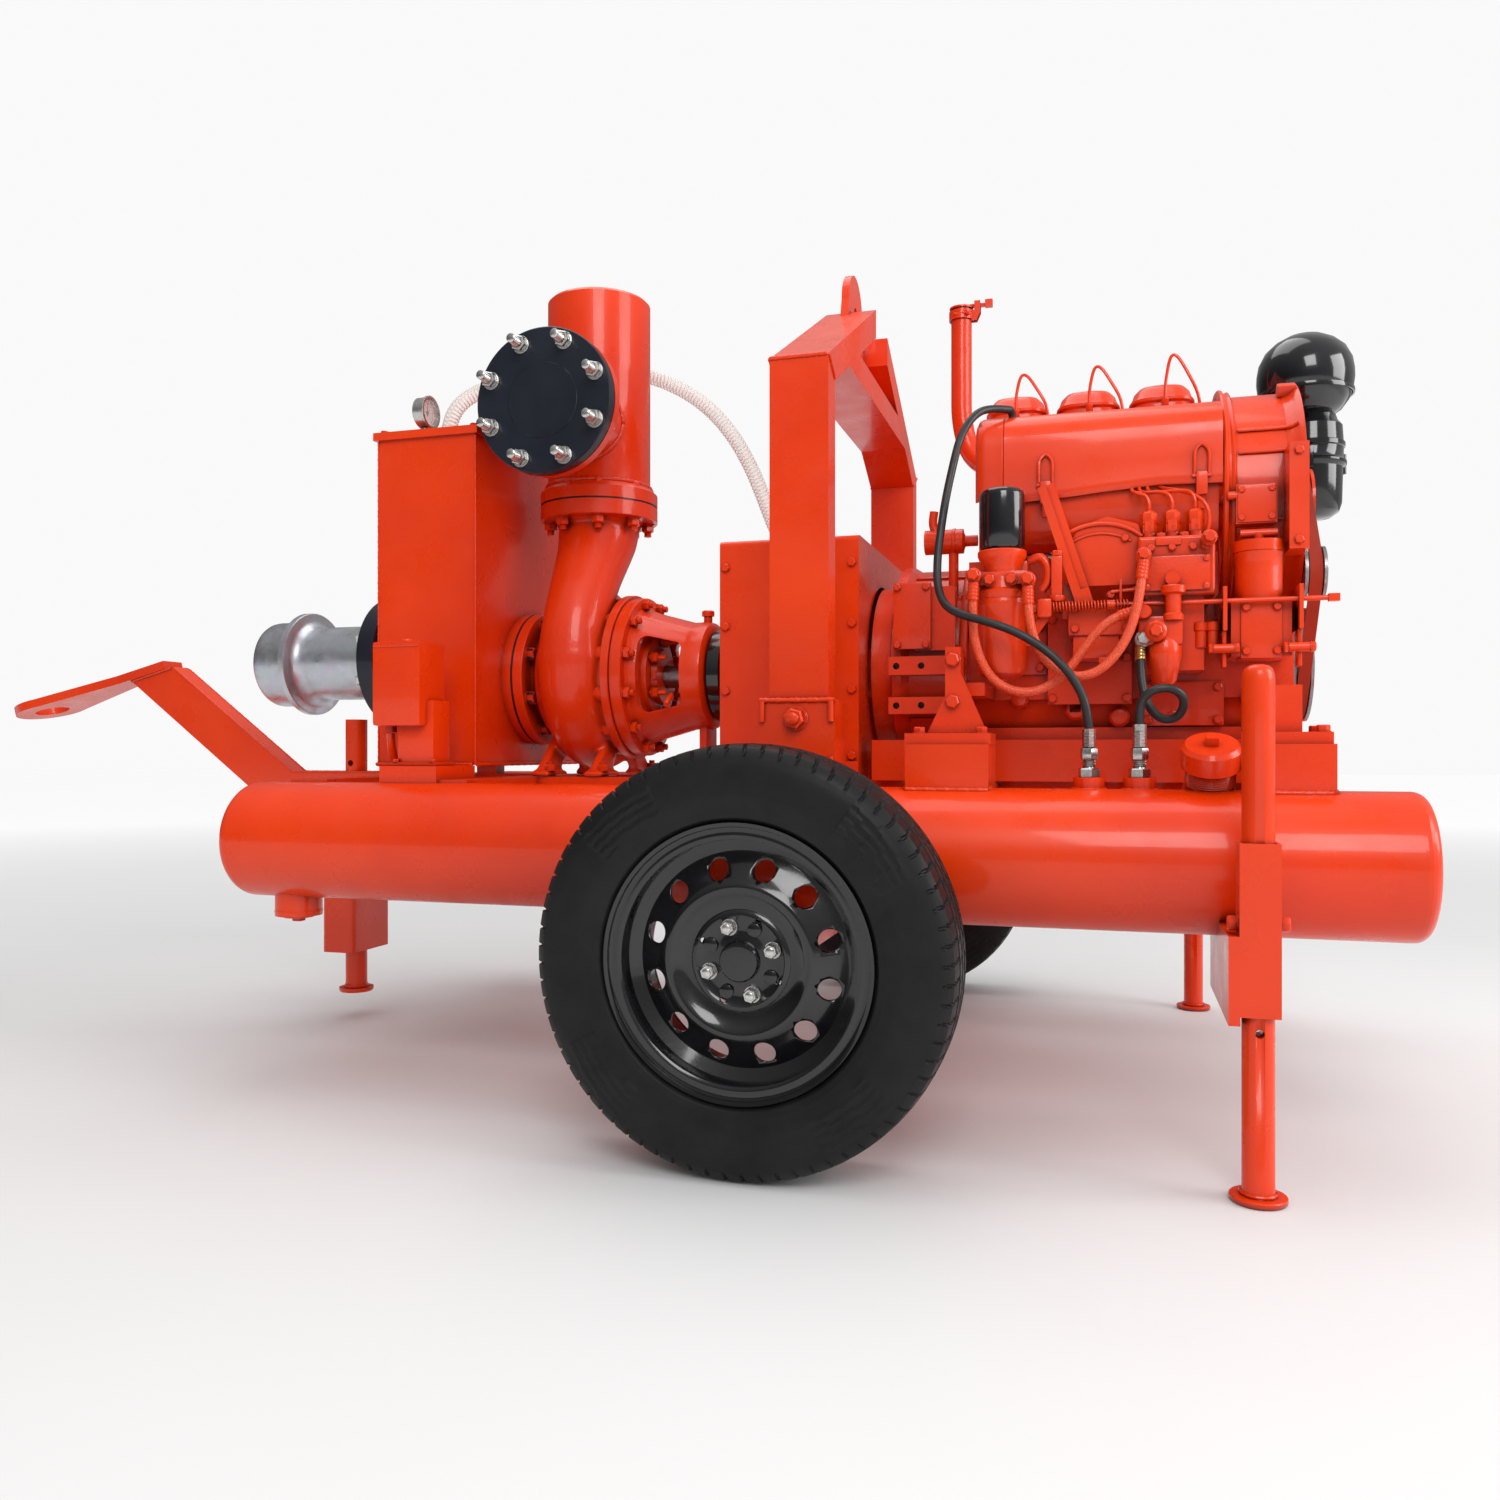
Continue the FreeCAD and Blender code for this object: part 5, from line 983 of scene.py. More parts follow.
def build_filter():
    """The spin-on fuel filter and its head with the bowl below."""
    can = Builder()
    can.lathe(mm([(945, 0), (945, 34), (948, 36.5), (952, 37.8), (1036, 38), (1042, 36.8), (1046, 34),
                  (1048, 30), (1049.4, 20), (1050, 0)]), FILTER, Z, 64)
    can.finish("spin_on_filter", "gloss_black_enamel", replaces=["fuel_filter"])
    head = Builder()
    head.lathe(mm([(724, 0), (724, 10), (729, 12), (730, 26), (738, 37), (748, 40), (846, 42), (852, 43.5),
                   (858, 43.5), (862, 42), (866, 44), (876, 44), (880, 38), (906, 30), (918, 32), (930, 38),
                   (936, 40.5), (943, 40.5), (944.6, 39), (944.6, 0)]), FILTER, Z, 64)
    head.lathe(mm([(714, 8), (714, 10), (724, 10)]), FILTER, Z, 6)
    head.block(at(296, -316, 872), at(372, -184, 930), 0.008)
    head.block(at(284, -352, 884), at(374, -316, 908), 0.008)
    for x, z in ((312, 893), (347, 893)):
        head.bolt(at(x, -352, z), -Y, 0.016, 0.010)
        head.lathe([(0, 0.012), (0.004, 0.011)], at(x, -351, z), -Y, 24)
    for x, z in ((287, 900), (375, 890)):
        head.lathe(mm([(-12, 11), (0, 12.5), (14, 12.5), (17, 10)]), at(x, -352, z), -Y, 28)
        head.bolt(at(x, -369, z), -Y, 0.017, 0.009)
    head.tube([at(372, -300, 930), at(392, -304, 934), at(404, -306, 918), at(404, -306, 894),
               at(394, -304, 878)],
              0.0075, 16)
    head.finish("filter_head_casting", "cast_orange", replaces=["filter_head"])


def build_injection_details():
    """Delivery pipes, lift pump, governor and its linkage on the injection pump."""
    extra = Builder()
    # delivery valves with clamps, hexes and pipes under the cowl
    for x, end in ((566, 541), (602, 553), (638, 566)):
        extra.lathe(mm([(958, 14), (962, 14), (963, 12), (968, 12)]), at(x, -285, 0), Z, 28)
        extra.bolt(at(x, -285, 968), Z, 0.024, 0.014, washer=False)
        extra.lathe(mm([(982, 12), (984, 13.4), (1000, 13.4), (1003, 11.5), (1006, 6)]), at(x, -285, 0), Z, 6)
        extra.tube([at(x, -285, 1002), at(x, -285, 1018), at(x - 6, -283, 1032), at(x - 20, -278, 1038),
                    at(end + 12, -268, 1040), at(end, -255, 1046), at(end - 2, -243, 1062)], 0.0032, 10)
    extra.tube([at(655, -292, 962), at(659, -292, 985), at(655, -290, 1008), at(640, -284, 1026),
                at(612, -272, 1040), at(590, -250, 1050), at(580, -243, 1060)], 0.0032, 10)
    for x in (584, 620):
        extra.block(at(x - 7, -303, 954), at(x + 7, -284, 966), 0.002)
        extra.bolt(at(x, -303, 960), -Y, 0.010, 0.006)
    # side cover, plugs and screws
    extra.block(at(556, -328, 868), at(658, -319, 924), 0.003)
    for x in (568, 600, 632, 650):
        extra.bolt(at(x, -322, 938), -Y, 0.010, 0.006)
    for x, z in ((562, 874), (652, 874), (562, 918), (652, 918)):
        extra.lathe([(0, 0.005), (0.004, 0.005), (0.005, 0.003)], at(x, -328, z), -Y, 16)
    extra.block(at(575, -324, 942), at(614, -318, 955), 0.002)
    for x, z in ((556, 925), (655, 948)):
        extra.lathe(mm([(-14, 11), (6, 12), (20, 12), (24, 9)]), at(x, -326, z), -Y, 28)
        extra.bolt(at(x, -349, z), -Y, 0.016, 0.009)
    # lift pump below with its primer knob
    extra.lathe(mm([(0, 12), (30, 12), (33, 13), (36, 19), (46, 19), (48, 17)]), at(601, -340, 826), Z, 36)
    extra.lathe(mm([(-8, 16), (0, 16), (4, 13)]), at(601, -340, 826), Z, 36)
    extra.block(at(548, -346, 778), at(616, -305, 826), 0.009)
    extra.lathe(mm([(-76, 15), (-70, 19), (-30, 27), (-12, 27), (0, 20)]), at(588, -326, 792), Z, 40)
    extra.lathe(mm([(0, 17), (12, 17), (16, 13)]), at(574, -346, 800), -Y, 32)
    extra.bolt(at(574, -362, 800), -Y, 0.017, 0.008)
    extra.lathe([(0, 0.012), (0.022, 0.012), (0.026, 0.010)], at(556, -330, 832), -Y, 24)
    for x in (645, 664):
        extra.lathe(mm([(0, 10), (26, 10), (28, 12), (40, 12), (42, 8)]), at(x, -300, 776), Z, 28)
    # governor housing and its screws
    extra.block(at(436, -306, 800), at(542, -215, 856), 0.010)
    extra.block(at(444, -300, 762), at(520, -215, 802), 0.008)
    extra.block(at(486, -312, 754), at(502, -296, 764), 0.002)
    for x in (448, 530):
        screws(extra, (x,), -306, (812, 846), 0.012, 0.007)
    # sector plate with its slot rim
    for first, sweep, steps, reach, y, thick in ((130, 80, 14, 104, -292, 0.0035),
                                                 (122, 66, 10, 88, -291, 0.0024)):
        arc = []
        for step in range(steps + 1):
            angle = math.radians(first - sweep * step / steps)
            arc.append(at(488 + reach * math.cos(angle), y, 884 + reach * math.sin(angle)))
        extra.tube(arc, thick, 10, 3)
    extra.bolt(at(528, -290, 962), -Y, 0.011, 0.006)
    for x, z in ((506, 868), (546, 874)):
        extra.bolt(at(x, -292, z), -Y, 0.012, 0.008)
    extra.tube([at(506, -300, 872), at(560, -300, 876)], 0.0035, 12)
    extra.block(at(519, -308, 858), at(523, -294, 892), 0.001)
    # spring clevis and bell crank at the front of the rod
    extra.block(at(388, -342, 829), at(412, -308, 861), 0.007)
    extra.bolt(at(388, -325, 845), -X, 0.013, 0.008)
    extra.plate([(0.366, 0.790), (0.376, 0.784), (0.406, 0.826), (0.408, 0.840), (0.394, 0.840)],
                at(0, -322, 0), X, Z, 0.006)
    extra.lathe([(0, 0.009), (0.014, 0.009)], at(372, -316, 792), -Y, 24)
    extra.block(at(410, -318, 866), at(428, -300, 934), 0.003)
    extra.bolt(at(419, -309, 934), Z, 0.016, 0.008)
    extra.lathe(mm([(0, 14), (5, 15), (10, 14)]), at(419, -309, 858), Z, 32)
    extra.finish("injection_pump_details", "cast_orange")

    spring = Builder()
    turns, per_turn, coil_radius, wire = 24, 12, 7.2, 0.0015
    rows = []
    for step in range(turns * per_turn + 1):
        angle = 2 * math.pi * step / per_turn
        rows.append(at(412 + 122 * step / (turns * per_turn), -325 + coil_radius * math.cos(angle),
                       848 + coil_radius * math.sin(angle)))
    spring.tube(rows, wire, 8, 1)
    spring.finish("governor_spring", "orange_enamel")


def build_oil_filler():
    """The oil filler neck, the housing below it and the guides of the governor rod."""
    extra = Builder()
    extra.lathe(mm([(848, 31), (852, 35.4), (900, 35.6), (922, 35.6), (926, 37), (929.8, 37), (929.8, 28.4),
                    (870, 28.4)]), at(735, -275, 0), Z, 56, joined=True)
    extra.block(at(704, -314, 756), at(766, -240, 850), 0.005)
    screws(extra, (712, 758), -314, (768, 838), 0.011, 0.006)
    for x in (679, 790):
        extra.plate([(x * MM - 0.003, 0.742), (x * MM + 0.003, 0.742), (x * MM + 0.003, 0.836),
                     (x * MM - 0.003, 0.836)],
                    at(0, -322, 0), X, Z, -0.03)
        extra.tube([at(x - 16, -326, 772), at(x + 14, -326, 772)], 0.0075, 16)
        extra.bolt(at(x + 14, -326, 772), X, 0.014, 0.007)
        extra.bolt(at(x - 16, -326, 772), -X, 0.014, 0.007)
    extra.finish("oil_filler_details", "cast_orange")


def build_air_cleaner():
    """The air cleaner's can, its dome and the intake duct to the engine."""
    centre = at(880, 185, 0)
    body = Builder()
    body.lathe(mm([(1060, 0), (1060, 20), (1064, 38), (1074, 52), (1090, 57), (1158, 59), (1161, 64),
                   (1164, 65.5), (1170, 65.5), (1173, 62), (1176, 60), (1196, 60), (1198, 63), (1206, 63),
                   (1208, 60), (1240, 58), (1250, 50), (1262, 46), (1300, 46), (1304, 49), (1312, 49),
                   (1316, 46)]), centre, Z, 72)
    dome = at(870, 175, 0)
    body.lathe(mm([(1255, 30), (1262, 52), (1272, 66), (1290, 79), (1308, 85), (1330, 87.9), (1346, 87.4),
                   (1366, 84), (1388, 73), (1404, 56), (1416, 34), (1421, 14), (1422, 0.5)]), dome, Z, 80)
    body.lathe(mm([(1299, 84), (1299, 87.4), (1303, 87.9), (1307, 87.4), (1307, 84)]), dome, Z, 80,
               joined=True)
    body.block(at(808, 138, 1196), at(846, 232, 1246), 0.010)
    body.tube([at(824, 185, 1222), at(760, 191, 1228), at(690, 181, 1246), at(620, 160, 1250),
               at(560, 145, 1245)],
              0.030, 36)
    body.block(at(780, 173, 1090), at(846, 197, 1100), 0.002)
    body.block(at(780, 150, 832), at(792, 197, 1100), 0.003)
    for degrees in (20, 140, 260):
        turn = Matrix.Rotation(math.radians(degrees), 3, "Z")
        body.block(centre + at(60, -9, 1150), centre + at(70, 9, 1190), 0.003, turn, centre + at(0, 0, 1170))
    body.finish("air_cleaner_can", "gloss_black_enamel", replaces=["air_cleaner"])
    clamps = Builder()
    for point, axis, radius in ((at(800, 187, 1224.5), X, 31.5),
                                (at(650, 169, 1249), Vector((1, 0.28, -0.05)), 31.5)):
        clamps.lathe(mm([(-6, radius - 1), (-6, radius), (6, radius), (6, radius - 1)]), point, axis, 48,
                     joined=True)
        clamps.bolt(point + Z * 0.034 - Y * 0.008, Y, 0.009, 0.012)
    clamps.finish("hose_clamps", "zinc_plate")


def build_exhaust_details():
    """Manifold flanges and the clamp of the exhaust pipe."""
    extra = Builder()
    for x in (335, 465.5, 596):
        extra.plate([(-0.034, -0.030), (0.034, -0.030), (0.034, 0.030), (-0.034, 0.030)],
                    at(x, 92, 1180), X, Z, -0.010)
        for dx, dz in ((-27, -22), (27, -22), (-27, 22), (27, 22)):
            extra.bolt(at(x + dx, 102, 1180 + dz), Y, 0.013, 0.008)
    extra.lathe(mm([(640, 33), (650, 33), (652, 30), (652, 0)]), at(0, 225, 1180), X, 40)
    extra.lathe(mm([(0, 24), (0, 27), (20, 27), (20, 24)]), at(190, 300, 1562), Z, 40, joined=True)
    extra.tube([at(176, 276, 1572), at(204, 276, 1572)], 0.003, 10)
    extra.bolt(at(204, 276, 1572), X, 0.010, 0.006)
    extra.finish("exhaust_clamps", "orange_enamel")


# ---------------------------------------------------------------- hoses
VACUUM = [(-860, -100, 1281.5), (-858, -96, 1325), (-835, -70, 1375), (-790, -15, 1415), (-735, 50, 1445),
          (-670, 105, 1465), (-600, 145, 1476), (-530, 165, 1472), (-460, 172, 1448), (-395, 172, 1410),
          (-340, 170, 1362), (-295, 168, 1305), (-258, 165, 1240), (-228, 160, 1170), (-202, 152, 1105),
          (-174, 140, 1056), (-152, 131, 1012)]
RETURN = [(335, -215, 1212), (300, -245, 1211), (275, -272, 1190), (256, -292, 1150), (246, -305, 1100),
          (236, -318, 1045), (229, -330, 990), (224, -342, 935), (226, -358, 885), (240, -374, 850),
          (270, -388, 832), (310, -396, 820), (352, -400, 804), (392, -402, 781), (426, -404, 752),
          (452, -404, 718), (468, -405, 682), (472, -405, 644.5)]
FEED = [(548, -405, 651), (548, -406, 672), (552, -410, 690), (568, -414, 704), (592, -412, 707),
        (612, -404, 696), (615, -392, 676), (602, -382, 658), (580, -374, 658), (562, -366, 680),
        (553, -356, 712), (551, -344, 748), (552, -330, 782)]
FILTER_FRONT = [(287, -364, 888), (286, -366, 850), (287, -369, 806), (297, -370, 762), (318, -371, 726),
                (350, -371, 706), (386, -370, 704), (418, -360, 720), (444, -353, 746), (466, -352, 780),
                (492, -354, 811), (520, -350, 829), (546, -344, 834)]
FILTER_REAR = [(375, -364, 878), (376, -372, 840), (382, -374, 800), (398, -376, 762), (424, -377, 736),
               (454, -377, 727), (484, -377, 734), (511, -375, 758), (532, -373, 793), (545, -369, 834),
               (552, -362, 880), (556, -352, 913)]


def route_line(route, fineness=24):
    """Points along the NURBS spline that has the route as its control points."""
    curve = bpy.data.curves.new("route", "CURVE")
    curve.dimensions = "3D"
    spline = curve.splines.new("NURBS")
    spline.points.add(len(route) - 1)
    for point, (x, y, z) in zip(spline.points, route):
        point.co = (x * MM, y * MM, z * MM, 1.0)
    spline.order_u = 3
    spline.use_endpoint_u = True
    spline.resolution_u = fineness
    holder = bpy.data.objects.new("route", curve)
    bpy.context.scene.collection.objects.link(holder)
    line = bpy.data.meshes.new_from_object(holder)
    points = [v.co.copy() for v in line.vertices]
    bpy.data.objects.remove(holder, do_unlink=True)
    bpy.data.meshes.remove(line)
    bpy.data.curves.remove(curve)
    return points


def even_steps(line, step):
    """The same line with points at equal distances."""
    total = sum((b - a).length for a, b in zip(line, line[1:]))
    count = max(2, round(total / step))
    targets = [total * i / count for i in range(count + 1)]
    made, passed, index = [], 0.0, 0
    for target in targets:
        while index < len(line) - 2 and passed + (line[index + 1] - line[index]).length < target:
            passed += (line[index + 1] - line[index]).length
            index += 1
        length = (line[index + 1] - line[index]).length
        made.append(line[index].lerp(line[index + 1], min(1.0, (target - passed) / length)))
    return made


def coil_round(line, radius, pitch, wire):
    """Wire helix round a line."""
    per_turn = 10
    helix = []
    for i, (point, side, other) in enumerate(carried(even_steps(line, pitch / per_turn))):
        angle = 2 * math.pi * i / per_turn
        helix.append(point + (side * math.cos(angle) + other * math.sin(angle)) * radius)
    return Builder().sweep(helix, wire, 5)


def crimp(builder, line, from_start, length, radius):
    """Ribbed metal sleeve on one end of a hose."""
    ordered = line if from_start else line[::-1]
    run, used = [ordered[0]], 0.0
    for a, b in zip(ordered, ordered[1:]):
        used += (b - a).length
        run.append(b)
        if used > length:
            break
    rows = even_steps(run, 0.0012)
    last = len(rows) - 1

    def ring(i):
        share = i / last
        if share < 0.04 or share > 0.96:
            return radius * 0.9
        return radius * (0.93 if i % 5 == 0 else 1.0)
    builder.sweep(rows, ring, 24)


def held(piece, line):
    """Turn the line's points into tuples and keep nothing."""
    tuple(line[0])
    [tuple(point) for point in line]


def plain_hose(name, look, route, segments, diameter, replaced=()):
    """Smooth hose along its route."""
    hose = Builder()
    steps = even_steps(route_line(route), 0.003)
    hose.sweep(steps, diameter / 2, segments)
    held(hose.finish(name, look, replaces=replaced), steps)


def build_hoses():
    """The vacuum hose with its wire, the two black hoses and the two braided fuel hoses."""
    vacuum, stride, wire_pitch = route_line(VACUUM), 0.0011, 0.0088
    steps = even_steps(vacuum, stride)
    wall = Builder()
    wall.sweep(steps, lambda i: (16.3 + 0.6 * math.cos(2 * math.pi * i * stride / wire_pitch)) * MM, 28)
    held(wall.finish("vacuum_hose_wall", "clear_hose", replaces=["vacuum_hose"], sharp=60), steps)
    coil_round(vacuum, 0.0150, wire_pitch, 0.0011).finish("vacuum_hose_wire", "dial_white", slot="clear_hose")
    clips = Builder()
    for point, ahead in ((vacuum[0] + Z * 0.012, Z), (vacuum[-1] + Z * 0.012 - X * 0.006, Z)):
        clips.lathe(mm([(-6, 17), (-6, 17.8), (6, 17.8), (6, 17)]), point, ahead, 40, joined=True)
        clips.bolt(point - X * 0.010 - Y * 0.0195, -X, 0.008, 0.010)
    clips.finish("vacuum_hose_clips", "zinc_plate")
    plain_hose("return_line", "black_rubber", RETURN, 22, 0.0138, ["return_hose"])
    plain_hose("feed_line", "black_rubber", FEED, 22, 0.0138, ["feed_hose"])
    ends = Builder()
    ends.tube([route_line(RETURN)[0] - Y * 0.002, at(338, -208, 1206), at(339, -204, 1194),
               at(339, -203, 1184)], 0.0068, 20)
    ends.finish("return_line_end", "black_rubber")
    ends = Builder()
    crimp(ends, route_line(FEED), False, 0.028, 0.0092)
    ends.finish("feed_line_ferrule", "brass", slot="zinc_plate")
    eye = Builder()
    eye.lathe(mm([(-13, 13), (-11, 14.5), (9, 14.5), (11, 13)]), at(556, -330, 790), -Y, 32)
    eye.bolt(at(556, -341, 790), -Y, 0.019, 0.010)
    eye.finish("feed_banjo", "zinc_plate")
    plain_hose("braided_hose_front", "red_rubber", FILTER_FRONT, 24, 0.0148, ["fuel_hoses"])
    plain_hose("braided_hose_rear", "red_rubber", FILTER_REAR, 24, 0.0148)
    ends = Builder()
    for route in (FILTER_FRONT, FILTER_REAR):
        line = route_line(route)
        crimp(ends, line, True, 0.030, 0.0095)
        crimp(ends, line, False, 0.030, 0.0095)
        for x, y, z in (route[0], route[-1]):
            ends.lathe([(-0.010, 0.008), (-0.004, 0.0105), (0.004, 0.0105), (0.010, 0.008)],
                       at(x, y + 6, z + 6), Y, 24)
    ends.finish("fuel_hose_crimps", "cast_orange")


# ---------------------------------------------------------------- suction side, gauge, frame details
def build_coupling():
    """The suction coupling's turned body and the bolts of the inlet flange."""
    made = Builder()
    made.lathe(mm([(-1372, 78), (-1372, 85), (-1371, 88.5), (-1367, 93), (-1360, 96.6), (-1350, 98),
                   (-1290, 98), (-1284.5, 99), (-1283, 101), (-1283, 116), (-1281.5, 118), (-1268.5, 118),
                   (-1267, 116), (-1266.5, 101), (-1264, 96), (-1256, 88.5), (-1244, 84.6), (-1236, 84),
                   (-1060, 84), (-1060, 78), (-1240, 78), (-1262, 84), (-1290, 92), (-1352, 92),
                   (-1364, 84)]), INLET, X, 128,
               joined=True)
    made.finish("coupling_male_end", "galvanised_steel", replaces=["suction_coupling"], sharp=32)
    ring = Builder()
    bolt_ring(ring, at(-1060, 0, 810), -X, 8, 0.120, 0.024, 22.5)
    ring.finish("inlet_flange_bolts", "zinc_plate")


def build_gauge():
    """The vacuum gauge: case, dial, marks, hand and glass."""
    middle, face = at(-834, -228, 1299), X
    case = Builder()
    case.lathe(mm([(-14, 0), (-14, 28), (-12, 30.5), (8, 31), (10, 33.5), (13, 33.5), (14, 32), (14, 29),
                   (11, 28.2), (3.2, 28), (2.2, 27.5), (2.2, 0)]), middle, face, 72)
    case.lathe([(0, 0.0058), (0.030, 0.0058)], at(-834, -228, 1240), Z, 20)
    case.bolt(at(-834, -228, 1258), Z, 0.019, 0.010, washer=False)
    case.finish("gauge_case", "zinc_plate", replaces=["vacuum_gauge"])
    dial = Builder()
    dial.lathe(mm([(2.2, 0), (2.2, 27.4), (2.5, 27.4), (2.5, 0)]), middle, face, 64)
    dial.finish("gauge_dial", "dial_white", slot="zinc_plate")
    marks = Builder()
    base, outer = middle + face * 0.00255, 0.0245
    for step in range(28):
        angle = math.radians(225 - 10 * step)
        ray = Y * math.cos(angle) + Z * math.sin(angle)
        inner, width = (0.0195, 0.0005) if step % 3 == 0 else (0.0220, 0.0003)
        across = face.cross(ray)
        mark = [base + ray * inner - across * width, base + ray * inner + across * width,
                base + ray * outer + across * width, base + ray * outer - across * width]
        marks.add(mark + [p + face * 0.0002 for p in mark],
                  [(0, 3, 2, 1), (4, 5, 6, 7), (0, 1, 5, 4), (1, 2, 6, 5), (2, 3, 7, 6), (3, 0, 4, 7)])
    marks.finish("gauge_marks", "dial_ink", slot="zinc_plate")
    hand = Builder()
    outline = [(-0.0009, 0.0), (-0.0004, 0.0205), (0.0004, 0.0205), (0.0009, 0.0), (0.0012, -0.007),
               (-0.0012, -0.007)]
    hand.plate(outline, middle + face * 0.0042, face.cross(Z), Z, 0.0006, edge=0)
    hand.lathe([(0.003, 0.0036), (0.0055, 0.0036), (0.006, 0.003)], middle, face, 24)
    hand.finish("gauge_hand", "dial_ink", "needle", slot="zinc_plate", replaces=["gauge_needle"])
    cover = Builder()
    cover.lathe(mm([(10.5, 0), (10.5, 28), (11.6, 28), (11.9, 14), (12, 0)]), middle, face, 56)
    cover.finish("gauge_glass", "gauge_glass", slot="clear_hose")


def build_tank_details():
    """Bolts and outlet flare of the priming tank, and the junction box on its side."""
    extra = Builder()
    for x in (-922, -716):
        for y in (-242, 242):
            extra.bolt(at(x, y, 1258), Z, 0.012, 0.006)
    extra.lathe(mm([(-8, 150), (0, 140), (4, 118), (12, 100), (19.7, 96), (19.7, 80), (-8, 80)]),
                TANK_OUTLET, X, 96, joined=True)
    extra.lathe(mm([(0.5, 141), (18.5, 142.5), (19.7, 141), (19.7, 90), (0.5, 90)]), TANK_OUTLET, X, 96,
                joined=True)
    extra.finish("tank_bolts_and_flare", "orange_enamel")
    nuts = Builder()
    for y, z in circle_points(8, 0.120, 22.5):
        nuts.block(at(-663, -11, -11) + on_shaft(0) + Y * y + Z * z,
                   at(-648, 11, 11) + on_shaft(0) + Y * y + Z * z, 0.002)
    nuts.lathe(mm([(19.8, 92), (19.8, 142.9), (24, 142.9), (24, 92)]), TANK_OUTLET, X, 96, joined=True)
    nuts.finish("outlet_flange_nuts", "black_enamel")
    lid = Builder()
    lid.block(at(-830, -420, 655), at(-727, -330, 815), 0.009)
    lid.block(at(-827, -421.5, 803), at(-730, -328.5, 811), 0.003)
    lid.lathe(mm([(0, 14), (4, 14), (8, 9)]), at(-780, -375, 814), Z, 28)
    lid.block(at(-790, -396, 580), at(-713, -338, 704), 0.004)
    lid.block(at(-796, -404, 580), at(-704, -334, 587), 0.002)
    for x in (-790, -712):
        lid.bolt(at(x, -400, 587), Z, 0.010, 0.005)
    lid.tube([at(-818, -376, 656), at(-818, -376, 640), at(-822, -366, 612), at(-826, -350, 590)], 0.008, 16)
    lid.lathe([(0, 0.012), (0.012, 0.012), (0.014, 0.009)], at(-818, -376, 656), -Z, 24)
    quarter = [(-0.868, 0.590)]
    for step in range(10):
        angle = math.radians(180 - 10 * step)
        quarter.append((-0.808 + 0.060 * math.cos(angle), 0.590 + 0.098 * math.sin(angle)))
    quarter.append((-0.808, 0.590))
    lid.plate(quarter, at(0, -262, 0), X, Z, -0.006)
    lid.finish("junction_box_case", "orange_enamel", replaces=["junction_box"])


def build_frame_details():
    """Small fittings of the frame and its pipes, and the jack legs with the welds of their feet."""
    extra = Builder()
    for side in (-1, 1):
        for low, high in ((560, 600), (656, 690)):
            for x in (-44, 72):
                extra.tube([at(x, side * 486, low), at(x, side * 486, high)], 0.005, 12)
    rows = []
    for step in range(8):
        rows += [(0.018 + step * 0.0036, 0.0352), (0.0198 + step * 0.0036, 0.0368)]
    extra.lathe([(0.012, 0.034)] + rows + [(0.0478, 0.034)], FILLER_FOOT, FILLER, 64)
    for y in (-PIPE_Y, PIPE_Y):
        extra.lathe(mm([(-4, 34), (-4, 43), (0, 44), (4, 43), (4, 34)]), at(-982, y, 303), Z, 48, joined=True)
    for y in (-PIPE_Y, PIPE_Y):
        extra.lathe([(0, 0.030), (0.005, 0.030), (0.006, 0.028)], at(-982, y, 297), -Z, 40)
        extra.lathe([(0.005, 0.012), (0.013, 0.012), (0.014, 0.010)], at(-982, y, 297), -Z, 4)
    extra.finish("frame_fittings", "orange_enamel")
    for tag, side in (("near", -1), ("far", 1)):
        leg = Builder()
        leg.lathe(mm([(0, 0), (0, 35), (1.5, 36.6), (4, 37.5), (8, 37.5), (9, 36.6), (9.5, 24), (13, 21.6),
                      (16, 21.2), (704, 21.2), (713, 20.4), (720, 17.8), (724, 13), (725.6, 7), (726, 0)]),
                  at(JACK_X, side * JACK_Y, 0), Z, 64)
        piece = leg.finish("jack_leg_tube_" + tag, "orange_enamel", "jack_" + tag,
                           replaces=["jack_leg_" + tag])
        hole = Builder()
        hole.tube([at(JACK_X, side * JACK_Y - 40, 230), at(JACK_X, side * JACK_Y + 40, 230)], 0.006, 24)
        carve(piece, hole.finish("hole_cutter", "orange_enamel"))
        pin = Builder()
        round_weld(pin, at(JACK_X, side * JACK_Y, 12), Z, 0.0222, 0.003, 20)
        pin.finish("jack_foot_weld_" + tag, "orange_enamel", "jack_" + tag)
    foot = Builder()
    foot.lathe(mm([(0, 27), (3, 27), (9, 25)]), at(-1159, 0, 64), Z, 40)
    round_weld(foot, at(-1159, 0, 67), Z, 0.025, 0.003, 20)
    foot.finish("jockey_foot_weld", "orange_enamel", "jockey")


